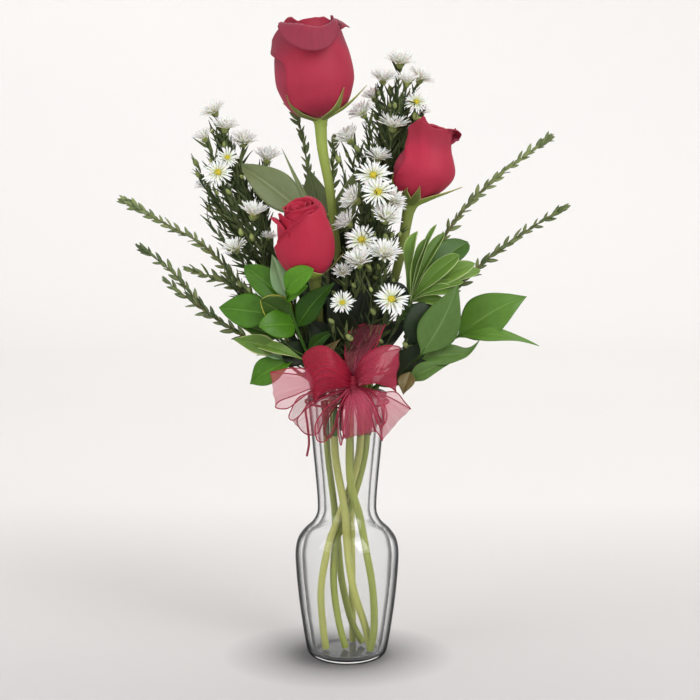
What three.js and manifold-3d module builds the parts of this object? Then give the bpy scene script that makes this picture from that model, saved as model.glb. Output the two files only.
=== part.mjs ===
// Three red roses, white asters and mixed greens in a clear glass bud vase, with a
// sheer red ribbon bow at the rim. Millimetres, +Z up. The origin is the centre of
// the vase's foot, and the front of the arrangement faces -Y.
import * as THREE from 'three';
import { mergeVertices } from 'three/addons/utils/BufferGeometryUtils.js';
import Module from 'manifold-3d';

const wasm = await Module();
wasm.setup();

// ---- Driving dimensions ----------------------------------------------------
const VASE_HEIGHT = 190;
const RIM_RADIUS = 28;
const WALL = 4.6;
const FLOOR_THICKNESS = 4;
const VASE_SIDES = 24;
const CLEARANCE = 0.35; // open gap kept between neighbouring pieces
const STEM_RADIUS = 2.6; // the six stems that stand on the vase's floor
const LEAF_THICKNESS = 1.0;
const LEAFLET_THICKNESS = 0.9;
const PETAL_THICKNESS = 0.9;
const RIBBON_THICKNESS = 0.8;
const HEAD_RADIUS = 7.2; // an open aster flower
const GOLDEN_ANGLE = 137.508;

// Outer profile of the vase, [radius, height]: foot, rounded heel, widening body,
// shoulder, waist of the neck and flared rim.
const VASE_PROFILE = [
  [24, 0],
  [27.6, 2.6],
  [29.4, 9],
  [32, 25],
  [34.4, 43],
  [36.2, 63],
  [36.6, 77],
  [34.8, 85.5],
  [30.6, 91.6],
  [24.4, 97.6],
  [21.2, 104],
  [20.8, 111],
  [24.1, 151],
  [RIM_RADIUS, VASE_HEIGHT],
];

// ---- Colours ---------------------------------------------------------------
const finish = (color, roughness, metalness = 0) =>
  new THREE.MeshStandardMaterial({ color, roughness, metalness });
const FINISHES = {
  glass: finish('#dfe6e6', 0.05),
  petal: finish('#9c2233', 0.55),
  stem: finish('#7f8f34', 0.6),
  leaf: finish('#3f6f26', 0.45),
  darkLeaf: finish('#2c4a25', 0.5),
  oliveLeaf: finish('#6f8156', 0.55),
  myrtle: finish('#5d7046', 0.6),
  aster: finish('#f2f2ee', 0.6),
  asterGreen: finish('#3b5434', 0.65),
  ribbon: finish('#9d1c30', 0.5),
};

// ---- Small helpers ---------------------------------------------------------
const point = (x, y, z) => new THREE.Vector3(x, y, z);
const points = (list) => list.map((p) => point(...p));
const radians = THREE.MathUtils.degToRad;
const mix = THREE.MathUtils.lerp;

// Reads a table of [position, value] rows at t, straight between its rows.
function along(table, t) {
  for (let i = 1; i < table.length; i++) {
    const [t0, v0] = table[i - 1];
    const [t1, v1] = table[i];
    if (t <= t1) return mix(v0, v1, (t - t0) / (t1 - t0));
  }
  return table[table.length - 1][1];
}

// A closed skin over cross-section rings. A ring of one point closes its end.
function loft(rings) {
  const corners = rings.flat();
  const faces = [];
  let start = 0;
  for (let i = 0; i + 1 < rings.length; i++) {
    const next = start + rings[i].length;
    const count = Math.max(rings[i].length, rings[i + 1].length);
    for (let k = 0; k < count; k++) {
      const a = start + (k % rings[i].length);
      const b = start + ((k + 1) % rings[i].length);
      const c = next + (k % rings[i + 1].length);
      const d = next + ((k + 1) % rings[i + 1].length);
      if (a === b) faces.push([a, d, c]);
      else if (c === d) faces.push([a, b, c]);
      else if (2 * k < count) faces.push([a, b, d], [a, d, c]);
      else faces.push([a, b, c], [b, d, c]);
    }
    start = next;
  }
  for (let k = 1; k + 1 < rings[0].length; k++) faces.push([0, k + 1, k]);
  const last = rings[rings.length - 1];
  for (let k = 1; k + 1 < last.length; k++) faces.push([start, start + k, start + k + 1]);
  const geometry = new THREE.BufferGeometry();
  geometry.setFromPoints(corners);
  geometry.setIndex(faces.flat());
  return geometry;
}

// Turns a closed geometry into a solid with its faces outwards.
function solid(geometry) {
  geometry.deleteAttribute('normal');
  geometry.deleteAttribute('uv');
  const merged = mergeVertices(geometry, 1e-4);
  const vertProperties = new Float32Array(merged.attributes.position.array);
  const triVerts = new Uint32Array(merged.index.array);
  let made = new wasm.Manifold(new wasm.Mesh({ numProp: 3, vertProperties, triVerts }));
  if (made.volume() < 0) {
    made = new wasm.Manifold(
      new wasm.Mesh({ numProp: 3, vertProperties, triVerts: triVerts.reverse() }),
    );
  }
  return made;
}

// Joins solids into one body. Sealed hollows are filled and loose scraps dropped.
function join(solids) {
  const joined = solids.reduce((all, next) => all.add(next));
  const pieces = joined.decompose();
  return pieces.reduce((best, piece) => (piece.volume() > best.volume() ? piece : best));
}

function boxesApart(a, b, gap) {
  const p = a.boundingBox();
  const q = b.boundingBox();
  return [0, 1, 2].some((i) => p.min[i] > q.max[i] + gap || q.min[i] > p.max[i] + gap);
}

// ---- The arrangement, and the rule that keeps its pieces apart --------------
const arrangement = new THREE.Group();
const standing = [];

const isClear = (candidate, gap = CLEARANCE) =>
  standing.every(
    (body) => boxesApart(candidate, body, gap) || candidate.minGap(body, 2 * gap) >= gap,
  );

// The first of several tries that clears what already stands, if any does.
function firstClear(tries) {
  for (const attempt of tries) {
    const made = attempt();
    if (isClear(made)) return made;
  }
  return null;
}

function addNode(name, body, material) {
  standing.push(body);
  const { vertProperties, triVerts } = body.getMesh();
  const geometry = new THREE.BufferGeometry();
  geometry.setAttribute('position', new THREE.BufferAttribute(vertProperties, 3));
  geometry.setIndex(new THREE.BufferAttribute(triVerts, 1));
  const mesh = new THREE.Mesh(geometry, material);
  mesh.name = name;
  arrangement.add(mesh);
}

// ---- Shapes of plants and ribbon --------------------------------------------
// Axes for the cross-sections of a curve, carried along it without twisting.
function framesAlong(curve, steps) {
  const frames = [];
  let side = null;
  for (let i = 0; i <= steps; i++) {
    const centre = curve.getPointAt(i / steps);
    const ahead = curve.getTangentAt(i / steps);
    if (!side) side = Math.abs(ahead.x) < 0.8 ? point(1, 0, 0) : point(0, 1, 0);
    side = side.clone().addScaledVector(ahead, -side.dot(ahead)).normalize();
    frames.push({ centre, ahead, side, over: ahead.clone().cross(side) });
  }
  return frames;
}

const smooth = (route) => new THREE.CatmullRomCurve3(route, false, 'centripetal');

// A round stem along a curve, its radius read from a table.
function stem(curve, radii, { sides = 6, steps = 12, pointed = false } = {}) {
  const rings = framesAlong(curve, steps).map(({ centre, side, over }, i) => {
    if (pointed && i === steps) return [centre];
    const r = along(radii, i / steps);
    return Array.from({ length: sides }, (_, k) => {
      const angle = (2 * Math.PI * k) / sides;
      return centre
        .clone()
        .addScaledVector(side, r * Math.cos(angle))
        .addScaledVector(over, r * Math.sin(angle));
    });
  });
  return solid(loft(rings));
}

// A thin blade over a middle surface(u, v), u from -1 to 1 across, v from 0 to 1
// up. It is thickest on its midrib, sharp at its edges and closes to a point at
// both ends.
function blade(surface, thickness, rows, across = 3) {
  const half = (across - 1) / 2;
  const step = 0.01;
  const thinning = across > 3 ? 0.35 : 0;
  const rings = rows.map((v) => {
    const top = [];
    const under = [];
    for (let k = 1; k + 1 < across; k++) {
      const u = (k - half) / half;
      const centre = surface(u, v);
      const acrossIt = surface(u + step, v).sub(surface(u - step, v));
      const upIt = surface(u, v + step).sub(surface(u, v - step));
      const normal = acrossIt.cross(upIt).normalize();
      const swell = (thickness / 2) * (1 - thinning * u * u);
      top.push(centre.clone().addScaledVector(normal, swell));
      under.unshift(centre.clone().addScaledVector(normal, -swell));
    }
    return [surface(-1, v), ...top, surface(1, v), ...under];
  });
  return solid(loft([[surface(0, 0)], ...rings, [surface(0, 1)]]));
}

// Outlines of leaves: half-width against the way along the midrib, 0 to 1.
const OUTLINES = {
  ovate: [[0, 0.05], [0.12, 0.4], [0.3, 0.95], [0.55, 0.95], [0.8, 0.48], [1, 0]],
  round: [[0, 0.15], [0.12, 0.66], [0.36, 1], [0.64, 0.94], [0.88, 0.5], [1, 0]],
  spoon: [[0, 0.08], [0.25, 0.34], [0.5, 0.78], [0.74, 1], [0.92, 0.62], [1, 0]],
  lance: [[0, 0.08], [0.15, 0.5], [0.35, 1], [0.6, 0.8], [0.8, 0.4], [1, 0]],
  stalked: [[0, 0.07], [0.26, 0.1], [0.42, 0.75], [0.62, 1], [0.84, 0.6], [1, 0]],
};

// A leaf from root to tip. Its face looks along `face`, the midrib arches towards
// it by `arch`, and its two halves rise from the midrib.
const LEAF_FOLD = 0.25;
function leaf({ root, tip, width, face, arch = 4, outline = 'ovate' }) {
  const from = point(...root);
  const to = point(...tip);
  const way = to.clone().sub(from).normalize();
  const side = way.clone().cross(point(...face)).normalize();
  const normal = side.clone().cross(way).normalize();
  const rows = OUTLINES[outline].slice(1, -1).map(([v]) => v);
  const surface = (u, v) => {
    const spread = (width / 2) * along(OUTLINES[outline], THREE.MathUtils.clamp(v, 0, 1)) * u;
    const lift = 4 * arch * v * (1 - v) + LEAF_FOLD * Math.abs(spread);
    return from.clone().lerp(to, v).addScaledVector(side, spread).addScaledVector(normal, lift);
  };
  return blade(surface, LEAF_THICKNESS, rows);
}

// A small leaf of six faces, flat above and keeled below, for what grows by the dozen.
function leaflet(root, tip, width, face) {
  const way = tip.clone().sub(root);
  const side = way.clone().cross(face).normalize();
  const normal = side.clone().cross(way).normalize();
  const belly = root.clone().addScaledVector(way, 0.5);
  const ring = [
    belly.clone().addScaledVector(side, width / 2),
    belly.clone().addScaledVector(side, -width / 2),
    belly.clone().addScaledVector(normal, -LEAFLET_THICKNESS),
  ];
  return solid(loft([[root], ring, [tip]]));
}

// ---- The vase ----------------------------------------------------------------
// The rounded lip stands this far above the rim, and the inside floor is this wide.
const LIP = 1;
const INNER_FLOOR_RADIUS = 21;

function vaseBody() {
  const wall = VASE_PROFILE.slice(2, -1);
  const profile = [
    [0, 0],
    ...VASE_PROFILE,
    [RIM_RADIUS - 0.35 * WALL, VASE_HEIGHT + LIP],
    [RIM_RADIUS - WALL, VASE_HEIGHT - 0.4 * LIP],
    ...wall.reverse().map(([r, z]) => [r - WALL, z]),
    [INNER_FLOOR_RADIUS, FLOOR_THICKNESS],
    [0, FLOOR_THICKNESS],
  ];
  const lathe = new THREE.LatheGeometry(profile.map((row) => new THREE.Vector2(...row)), VASE_SIDES);
  return solid(lathe.rotateX(Math.PI / 2));
}

// ---- The roses ---------------------------------------------------------------
// Radius of the outermost petals against height, as shares of the bloom's own.
const BLOOM_PROFILE = [
  [0, 0.2], [0.05, 0.42], [0.13, 0.7], [0.26, 0.93], [0.4, 1], [0.58, 0.98], [0.76, 0.88],
  [0.9, 0.78], [1, 0.74],
];

// Petals of a rose, outermost first: [azimuth from the front in degrees, half the
// angle it wraps, share of the radius, height of its tip, outward roll of its lip].
const ROSES = [
  {
    name: 'rose_1',
    calyx: [-18, 6, 381],
    crown: [-21, 6, 448],
    radius: 26.4,
    petals: [
      [28, 78, 1, 0.94, 0.1],
      [-84, 60, 0.94, 0.6, 0.03],
      [158, 72, 0.94, 0.93, 0.1],
      [-70, 78, 0.87, 1, 0.04],
      [84, 74, 0.87, 0.99, 0.03],
      [190, 60, 0.81, 0.96, 0],
    ],
    route: [
      [4.2, 17, 5], [4.1, 17, 20], [3.7, 15.3, 50], [3.4, 13, 80], [3, 11, 106],
      [2.5, 7.3, 147], [2, 3, 190], [-1, 3, 235], [-7, 5, 290], [-12, 6, 332], [-17, 6, 360],
      [-18, 6, 377],
    ],
    sepals: [[-52, 26, 9], [20, 12, 6], [58, 26, 14], [128, 26, 11], [-128, 24, 11]],
  },
  {
    name: 'rose_2',
    calyx: [42, 4, 323],
    crown: [57, 1, 378],
    radius: 20.8,
    petals: [
      [-30, 76, 1, 0.96, 0.08],
      [72, 58, 0.93, 0.9, 0.34],
      [175, 60, 0.93, 0.92, 0.1],
      [-106, 70, 0.86, 0.99, 0.04],
      [36, 70, 0.86, 1, 0.04],
      [150, 60, 0.79, 0.95, 0],
    ],
    route: [
      [-15, -1.7, 5.5], [-17, -1.8, 20], [-18.5, -1.8, 50], [-13, -1.5, 80], [-4.2, -0.9, 106],
      [3, -0.6, 125], [8.5, -0.3, 147], [11, 0, 190], [20, 1, 225], [31, 3, 262], [38, 4, 290],
      [41.2, 4, 319],
    ],
    sepals: [[-62, 22, 6], [-16, 20, 4], [24, 20, 6], [84, 32, 17], [170, 22, 8]],
  },
  {
    name: 'rose_3',
    calyx: [-18, -26, 277],
    crown: [-27, -39, 326],
    radius: 19.6,
    petals: [
      [26, 78, 1, 0.86, 0.02],
      [-92, 60, 0.93, 0.84, 0.1],
      [150, 60, 0.93, 0.9, 0.04],
      [-50, 66, 0.86, 0.9, 0.04],
      [84, 64, 0.86, 0.95, 0],
      [190, 60, 0.79, 0.97, 0],
    ],
    route: [
      [16.5, -1.4, 6], [13.5, -2.5, 20], [4.5, -4.5, 50], [0, -6, 80], [-1.4, -6.8, 106],
      [-8, -6.6, 147], [-10, -8, 190], [-14, -14, 220], [-17, -21, 250], [-17.6, -25, 273],
    ],
    sepals: [[18, 19, 6], [80, 18, 8], [-58, 17, 8], [150, 18, 8], [-130, 18, 8]],
  },
];

// Axes of a bloom: up from calyx to crown, with azimuth 0 towards the front.
function bloomAxes({ calyx, crown }) {
  const base = point(...calyx);
  const up = point(...crown).sub(base);
  const height = up.length();
  up.normalize();
  const front = point(0, -1, 0).addScaledVector(up, up.y).normalize();
  const right = front.clone().cross(up).negate();
  return { base, up, front, right, height };
}

// The point of a bloom at an azimuth (degrees), a radius and a height.
function onBloom({ base, up, front, right }, azimuth, radius, height) {
  const angle = radians(azimuth);
  return base
    .clone()
    .addScaledVector(up, height)
    .addScaledVector(front, radius * Math.cos(angle))
    .addScaledVector(right, radius * Math.sin(angle));
}

// One petal, wrapped round the bloom. Its radius grows from its left edge to its
// right one, so that each petal overlaps the next, and its lip rolls outwards.
const PETAL_OUTLINE = [
  [0, 0.3], [0.2, 0.8], [0.45, 1], [0.75, 0.96], [0.9, 0.74], [0.97, 0.4], [1, 0],
];
function petal(axes, bloomRadius, [azimuth, halfAngle, share, tip, roll]) {
  const surface = (u, v) => {
    const level = v * tip * (1 - 0.07 * u * u * v);
    const lip = roll * bloomRadius * Math.max(0, (v - 0.7) / 0.3) ** 2;
    const wrapped = along(BLOOM_PROFILE, level) * share * bloomRadius * (1 + 0.01 * u);
    const droop = 0.5 * lip * Math.max(0, (v - 0.85) / 0.15);
    const turn = halfAngle * u * along(PETAL_OUTLINE, THREE.MathUtils.clamp(v, 0, 1));
    return onBloom(axes, azimuth + turn, wrapped + lip, level * axes.height - droop);
  };
  return blade(surface, PETAL_THICKNESS, [0.1, 0.36, 0.68, 0.92], 5);
}

// The closed heart of the bloom: a bud inside the petals, with a spiral furrow
// round its crown.
const HEART_PROFILE = [[0, 0.19], [0.06, 0.4], [0.16, 0.58], [0.4, 0.66], [0.7, 0.6], [0.9, 0.42]];
const HEART_SIDES = 8;
const EYE_LEVEL = 0.84; // bottom of the dimple in its crown
function heart(axes, bloomRadius) {
  const rings = HEART_PROFILE.map(([level, share], row) =>
    Array.from({ length: HEART_SIDES }, (_, k) => {
      const swirl = row > 2 ? 0.05 * Math.cos(radians(90 * row + 60 * k)) : 0;
      const azimuth = (360 * k) / HEART_SIDES;
      return onBloom(axes, azimuth, bloomRadius * (share + swirl), level * axes.height);
    }),
  );
  const eye = onBloom(axes, 0, 0, EYE_LEVEL * axes.height);
  return solid(loft([...rings, [eye]]));
}

function bloom(rose) {
  const axes = bloomAxes(rose);
  return join([heart(axes, rose.radius), ...rose.petals.map((p) => petal(axes, rose.radius, p))]);
}

// A narrow green sepal that leaves the hip and rises outside the petals, bending
// away from them towards its tip by `flare`.
const SEPAL_ROOT = 0.08; // share of its length inside the hip
const SEPAL_GAP = 1.6;
const SEPAL_HALF_WIDTH = 2.6;
function sepal(axes, rose, hipRadius, [azimuth, length, flare]) {
  const surface = (u, v) => {
    const reach = Math.min(v * length, axes.height);
    const over = along(BLOOM_PROFILE, Math.max(0, reach / axes.height - 0.02)) * rose.radius;
    const rooted = mix(hipRadius - 2, over + 1.2, v / SEPAL_ROOT);
    const r = v < SEPAL_ROOT ? rooted : over + SEPAL_GAP + flare * v * v;
    const spread = SEPAL_HALF_WIDTH * along(OUTLINES.lance, THREE.MathUtils.clamp(v, 0, 1)) * u;
    const turn = THREE.MathUtils.radToDeg(spread / Math.max(r, 6));
    return onBloom(axes, azimuth + turn, r, 0.86 * reach - SEPAL_GAP);
  };
  return blade(surface, LEAFLET_THICKNESS, [0.12, 0.4, 0.75]);
}

// A rose's stem with the hip under its bloom and its five sepals.
function roseStem(rose) {
  const axes = bloomAxes(rose);
  const hipRadius = 0.16 * rose.radius + 1;
  const hipSides = 8;
  const hipRows = [[-7, 2.6], [-4.5, 3.2], [-1.5, hipRadius], [-CLEARANCE, hipRadius - 0.4]];
  const hip = hipRows.map(([z, r]) =>
    Array.from({ length: hipSides }, (_, k) => onBloom(axes, (360 * k) / hipSides, r, z)),
  );
  const sepals = rose.sepals.map((row) => sepal(axes, rose, hipRadius, row));
  const radii = [[0, STEM_RADIUS], [0.85, STEM_RADIUS], [1, 3.1]];
  return join([stem(smooth(points(rose.route)), radii), solid(loft(hip)), ...sepals]);
}

// ---- The ribbon bow ----------------------------------------------------------
const KNOT = [0, -36, 196];
const KNOT_RADIUS = 8;
// Loops of the bow: [where the fold is, width at the fold, how far the loop opens,
// direction in which it opens].
const LOOPS = [
  [[-25, -46, 222], 33, 9, [0.2, -1, 0.1]],
  [[14, -40, 238], 24, 7, [0.6, -0.8, 0]],
  [[34, -45, 221], 34, 9, [-0.2, -1, 0]],
  [[-50, -38, 197], 28, 8, [0.1, -0.9, -0.4]],
  [[-38, -44, 179], 24, 9, [-0.5, -0.5, 0.7]],
  [[-17, -46, 163], 24, 9, [-0.8, -0.6, 0]],
  [[5, -50, 163], 27, 8, [0.2, -1, 0]],
  [[24, -46, 171], 24, 8, [0.8, -0.6, 0.2]],
  [[43, -41, 180], 32, 8, [0.2, -1, 0.3]],
];

// A flat band along a closed or open run of centres, across a fixed direction.
function band(centres, widths, acrossIt) {
  const rings = centres.map((centre, i) => {
    const before = centres[Math.max(0, i - 1)];
    const after = centres[Math.min(centres.length - 1, i + 1)];
    const way = after.clone().sub(before).normalize();
    const normal = way.clone().cross(acrossIt).normalize();
    const corner = (u, n) =>
      centre
        .clone()
        .addScaledVector(acrossIt, (u * widths[i]) / 2)
        .addScaledVector(normal, (n * RIBBON_THICKNESS) / 2);
    return [corner(-1, 1), corner(1, 1), corner(1, -1), corner(-1, -1)];
  });
  return solid(loft(rings));
}

// One loop: out from the knot to its fold and back, pinched where it is gathered.
const LOOP_STEPS = 6;
const GATHERED_WIDTH = 4;
function ribbonLoop([fold, width, opening, opens]) {
  const knot = point(...KNOT);
  const out = point(...fold).sub(knot);
  const acrossIt = out.clone().cross(point(...opens)).normalize();
  const aside = acrossIt.clone().cross(out).normalize();
  const centres = [];
  const widths = [];
  for (let i = 0; i <= LOOP_STEPS; i++) {
    const turn = (Math.PI * i) / LOOP_STEPS;
    const reach = Math.sin(turn) ** 0.85;
    const open = opening * Math.sin(2 * turn);
    centres.push(knot.clone().addScaledVector(out, reach).addScaledVector(aside, open));
    widths.push(mix(GATHERED_WIDTH, width, Math.min(1, 1.15 * reach) ** 1.4));
  }
  return band(centres, widths, acrossIt);
}

function bow() {
  const knot = new THREE.SphereGeometry(KNOT_RADIUS, 8, 5);
  knot.rotateX(Math.PI / 2).translate(...KNOT);
  return join([solid(knot), ...LOOPS.map(ribbonLoop)]);
}

// A thin cord that holds the bow under the flared rim, with its spare end hanging.
const TIE_RADIUS = 0.9;
const TIE_HEIGHT = 184;
const TIE_RING_RADIUS = RIM_RADIUS - 0.2 + CLEARANCE + TIE_RADIUS;
const TIE_END = [
  [-27.5, -12, 184], [-28.5, -22, 181], [-27, -30, 172], [-26, -32, 160], [-27.5, -32, 151],
];

function tie() {
  const ring = new THREE.TorusGeometry(TIE_RING_RADIUS, TIE_RADIUS, 4, VASE_SIDES);
  ring.rotateZ(Math.PI / VASE_SIDES).translate(0, 0, TIE_HEIGHT);
  const end = stem(smooth(points(TIE_END)), [[0, 0.8], [1, 0.8]], { sides: 5, steps: 8 });
  return join([solid(ring), end]);
}

// ---- The asters ----------------------------------------------------------------
// Each spray is a main stem with a stalk to every flower. A flower is [x, y, z of its
// centre, the direction it faces, its share of the full size].
const UP_LEFT = [-0.4, -0.3, 0.9];
const UPWARD = [0.1, -0.3, 1];
const FORWARD = [0, -0.8, 0.55];
const SPRAYS = [
  {
    name: 'aster_left',
    route: [
      [11.5, 11, 6], [4, 10.7, 20], [-3.5, 9.9, 50], [-7, 9, 80], [-9.5, 7.8, 106],
      [-14.5, 6.3, 147], [-17, 6, 190], [-30, 5, 228], [-48, 4, 275], [-66, 4, 320],
      [-80, 5, 352],
    ],
    foliageFrom: 0.62,
    flowers: [
      [-92, 12, 385, UP_LEFT, 1], [-84, 2, 374, UPWARD, 1], [-98, -2, 367, UP_LEFT, 0.9],
      [-72, 10, 364, UPWARD, 1.05], [-82, -5, 354, FORWARD, 0.85], [-56, 16, 352, UPWARD, 1.1],
      [-88, -12, 344, FORWARD, 1.1], [-98, 12, 334, UP_LEFT, 0.85], [-64, -14, 315, UPWARD, 1.15],
      [-76, -18, 292, UP_LEFT, 0.95], [-54, -8, 299, UPWARD, 0.6],
    ],
  },
  {
    name: 'aster_right',
    route: [
      [-1, 0, 5.5], [-5, 0.5, 20], [-9.5, 1.5, 50], [-8, 2.5, 80], [1.4, 3.5, 106], [8, 4.5, 125],
      [13.5, 6, 147], [16, 9, 190], [20, 14, 250], [24, 18, 310], [31, 17, 360], [35, 18, 392],
    ],
    foliageFrom: 0.6,
    flowers: [
      [37, 20, 419, UPWARD, 1.1], [25, 14, 407, UPWARD, 1], [41, 5, 405, UPWARD, 0.95],
      [51, 22, 408, [0.5, -0.2, 0.9], 1], [48, 9, 392, FORWARD, 0.95],
      [19, 20, 395, [-0.4, -0.2, 0.9], 0.9], [11, 14, 384, [-0.5, -0.3, 0.8], 1],
      [32, 8, 375, UPWARD, 1.15], [2, 14, 366, [-0.5, -0.3, 0.8], 1.1], [22, 6, 353, UPWARD, 0.95],
      [50, 28, 384, UPWARD, 0.9],
    ],
  },
  {
    name: 'aster_centre',
    route: [
      [16, -7.6, 5.5], [18.6, -8, 20], [18, -8.3, 50], [13, -8.5, 80], [7.8, -8.5, 106],
      [2.8, -8.6, 125], [1.4, -8.7, 147], [4, -10, 190], [9, -18, 235], [13, -20, 275],
      [17, -12, 318],
    ],
    foliageFrom: 0.66,
    flowers: [
      [18, -14, 342, FORWARD, 1.25], [21, -27, 331, FORWARD, 1.2],
      [6, -15, 325, [-0.8, -0.4, 0.5], 1.15], [30, -17, 325, [0.7, -0.4, 0.6], 1.05],
      [26, -28, 313, [0.3, -0.5, 0.8], 1.15], [1, -19, 309, [-0.6, -0.4, 0.6], 1.05],
      [10, -32, 299, FORWARD, 1.2], [25, -36, 289, [0.1, -0.6, 0.8], 1.2],
      [8, -40, 284, [-0.1, -0.6, 0.8], 1.15],
      [-3, -36, 277, [-0.1, -0.6, 0.8], 0.7], [30, -43, 260, FORWARD, 1.2],
      [-3, -46, 258, FORWARD, 0.9],
    ],
  },
];
const RAYS = 8;
const HEAD_HEEL = 1.2; // depth of a flower behind its centre
const CUPPING = 0.25;
const NOTCH = 0.62; // reach of the gaps between the rays, as a share of theirs

// An open flower: a star of white rays round a low disc, cupped towards its face.
function asterHead([x, y, z, facing, share]) {
  const radius = HEAD_RADIUS * share;
  const face = point(...facing).normalize();
  const side = face.clone().cross(point(0.3, 0.2, 0.9)).normalize();
  const over = face.clone().cross(side);
  const centre = point(x, y, z);
  const rim = Array.from({ length: 2 * RAYS }, (_, k) => {
    const angle = (Math.PI * k) / RAYS;
    const reach = radius * (k % 2 ? NOTCH : 1);
    return centre
      .clone()
      .addScaledVector(side, reach * Math.cos(angle))
      .addScaledVector(over, reach * Math.sin(angle))
      .addScaledVector(face, CUPPING * reach);
  });
  const disc = centre.clone().addScaledVector(face, HEAD_HEEL);
  const heel = centre.clone().addScaledVector(face, -HEAD_HEEL);
  return solid(loft([[heel], rim, [disc]]));
}

// Stalk from the main stem to just under a flower, ending in its green cup. It
// takes the first of several bows that clears the pieces already standing.
const STALK_SLOPES = [0.9, 1.2, 0.6, 1.6, 2];
const STALK_BOWS = [
  [0, 0], [0, 5], [0, -5], [5, 0], [-5, 0], [0, 10], [0, -10], [8, 8], [-8, 8], [8, -8], [-8, -8],
];
const STALK_RADII = [[0, 0.8], [0.85, 0.6], [1, 1.7]];
const NECK = 5; // length of the straight neck under a flower
const LEAST_STALK = 12;
function asterStalk(main, [x, y, z, facing]) {
  const face = point(...facing).normalize();
  const end = point(x, y, z).addScaledVector(face, -HEAD_HEEL - 1.5 * CLEARANCE);
  const neck = end.clone().addScaledVector(face, -NECK);
  const top = main.getPointAt(0.9);
  const spread = Math.hypot(x - top.x, y - top.y);
  const tries = STALK_SLOPES.flatMap((slope) =>
    STALK_BOWS.map(([dx, dy]) => () => {
      const root = pointAtHeight(main, end.z - slope * spread - LEAST_STALK);
      const middle = root.clone().lerp(neck, 0.55).add(point(dx, dy, 0));
      const route = smooth([root, middle, neck, end]);
      return stem(route, STALK_RADII, { sides: 3, steps: 3 });
    }),
  );
  return firstClear(tries);
}

// The point of a rising curve at a height, kept within its upper part.
function pointAtHeight(curve, level) {
  let low = 0.5;
  let high = 1;
  for (let i = 0; i < 12; i++) {
    const middle = (low + high) / 2;
    if (curve.getPointAt(middle).z < level) low = middle;
    else high = middle;
  }
  return curve.getPointAt(low);
}

// Leaflets along a curve, at one or more angles to a node and turning from node to
// node. Each takes the first position that clears what already stands.
const TIP_SHARE = 0.7; // length of the last leaflet against the first
function leafletsAlong(curve, { from, to, every, length, width, lean, angles, turn }) {
  const forward = Math.cos(radians(lean));
  const outward = Math.sin(radians(lean));
  const found = [];
  const count = Math.floor(((to - from) * curve.getLength()) / every);
  for (let i = 0; i < count; i++) {
    const at = from + ((to - from) * (i + 0.5)) / count;
    const root = curve.getPointAt(at);
    const ahead = curve.getTangentAt(at);
    const back = point(0, 1, 0).addScaledVector(ahead, -ahead.y).normalize();
    const over = ahead.clone().cross(back);
    for (const start of angles) {
      const tries = [0, 30, -30, 60, -60, 90].map((shift) => () => {
        const angle = radians(turn * i + start + shift);
        const out = back.clone().multiplyScalar(Math.cos(angle)).addScaledVector(over, Math.sin(angle));
        const way = ahead.clone().multiplyScalar(forward).addScaledVector(out, outward);
        const tip = root.clone().addScaledVector(way, length * mix(1, TIP_SHARE, at));
        return leaflet(root, tip, width, out);
      });
      const made = firstClear(tries);
      if (made) found.push(made);
    }
  }
  return found;
}

const ASTER_LEAVES = {
  to: 0.98, every: 10, length: 16, width: 2.4, lean: 40, angles: [0], turn: GOLDEN_ANGLE,
};
function asterSpray({ route, foliageFrom, flowers }) {
  const main = smooth(points(route));
  const radii = [[0, STEM_RADIUS], [0.45, 2.5], [0.6, 1.5], [1, 0.9]];
  const stalks = flowers.map((flower) => asterStalk(main, flower)).filter(Boolean);
  return join([
    stem(main, radii, { sides: 5, steps: 18 }),
    ...stalks,
    ...leafletsAlong(main, { from: foliageFrom, ...ASTER_LEAVES }),
  ]);
}

// ---- Myrtle twigs ----------------------------------------------------------------
// Each has opposite pairs of small leaves, and some have a side twig.
const TWIGS = [
  {
    name: 'myrtle_left_high',
    routes: [
      [
        [-15.5, 0, 160], [-19, 0, 190], [-38, 2, 222], [-60, 4, 248], [-82, 6, 274],
        [-102, 8, 294], [-129, 11, 309], [-154, 14, 323],
      ],
      [[-70, 5, 260], [-90, 0, 270], [-108, -2, 276]],
    ],
  },
  {
    name: 'myrtle_left_low',
    routes: [
      [
        [-13, -9, 160], [-16, -10, 190], [-36, -12, 208], [-59, -12, 224], [-79, -12, 236],
        [-98, -14, 250], [-117, -18, 274], [-138, -22, 292],
      ],
      [[-88, -12, 242], [-106, -18, 256], [-122, -20, 269]],
    ],
  },
  {
    name: 'myrtle_right_high',
    routes: [
      [
        [9, 13, 160], [10.5, 15, 190], [30, 15, 225], [52, 13, 265], [68, 12, 298], [84, 13, 320],
        [107, 15, 342], [140, 18, 366],
      ],
    ],
  },
  {
    name: 'myrtle_right_low',
    routes: [
      [
        [16, 1, 160], [19.5, 1, 190], [38, -1, 215], [58, -3, 240], [78, -6, 266], [97, -10, 285],
        [118, -14, 301], [146, -19, 319],
      ],
    ],
  },
  {
    name: 'myrtle_top',
    routes: [
      [
        [0, 15.5, 160], [0, 18.5, 190], [-8, 28, 240], [-18, 31, 290], [-26, 30, 335],
        [-32, 28, 370], [-38, 27, 388],
      ],
      [[-16, 31, 280], [-12, 32, 320], [-9, 28, 364]],
    ],
  },
];

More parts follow.
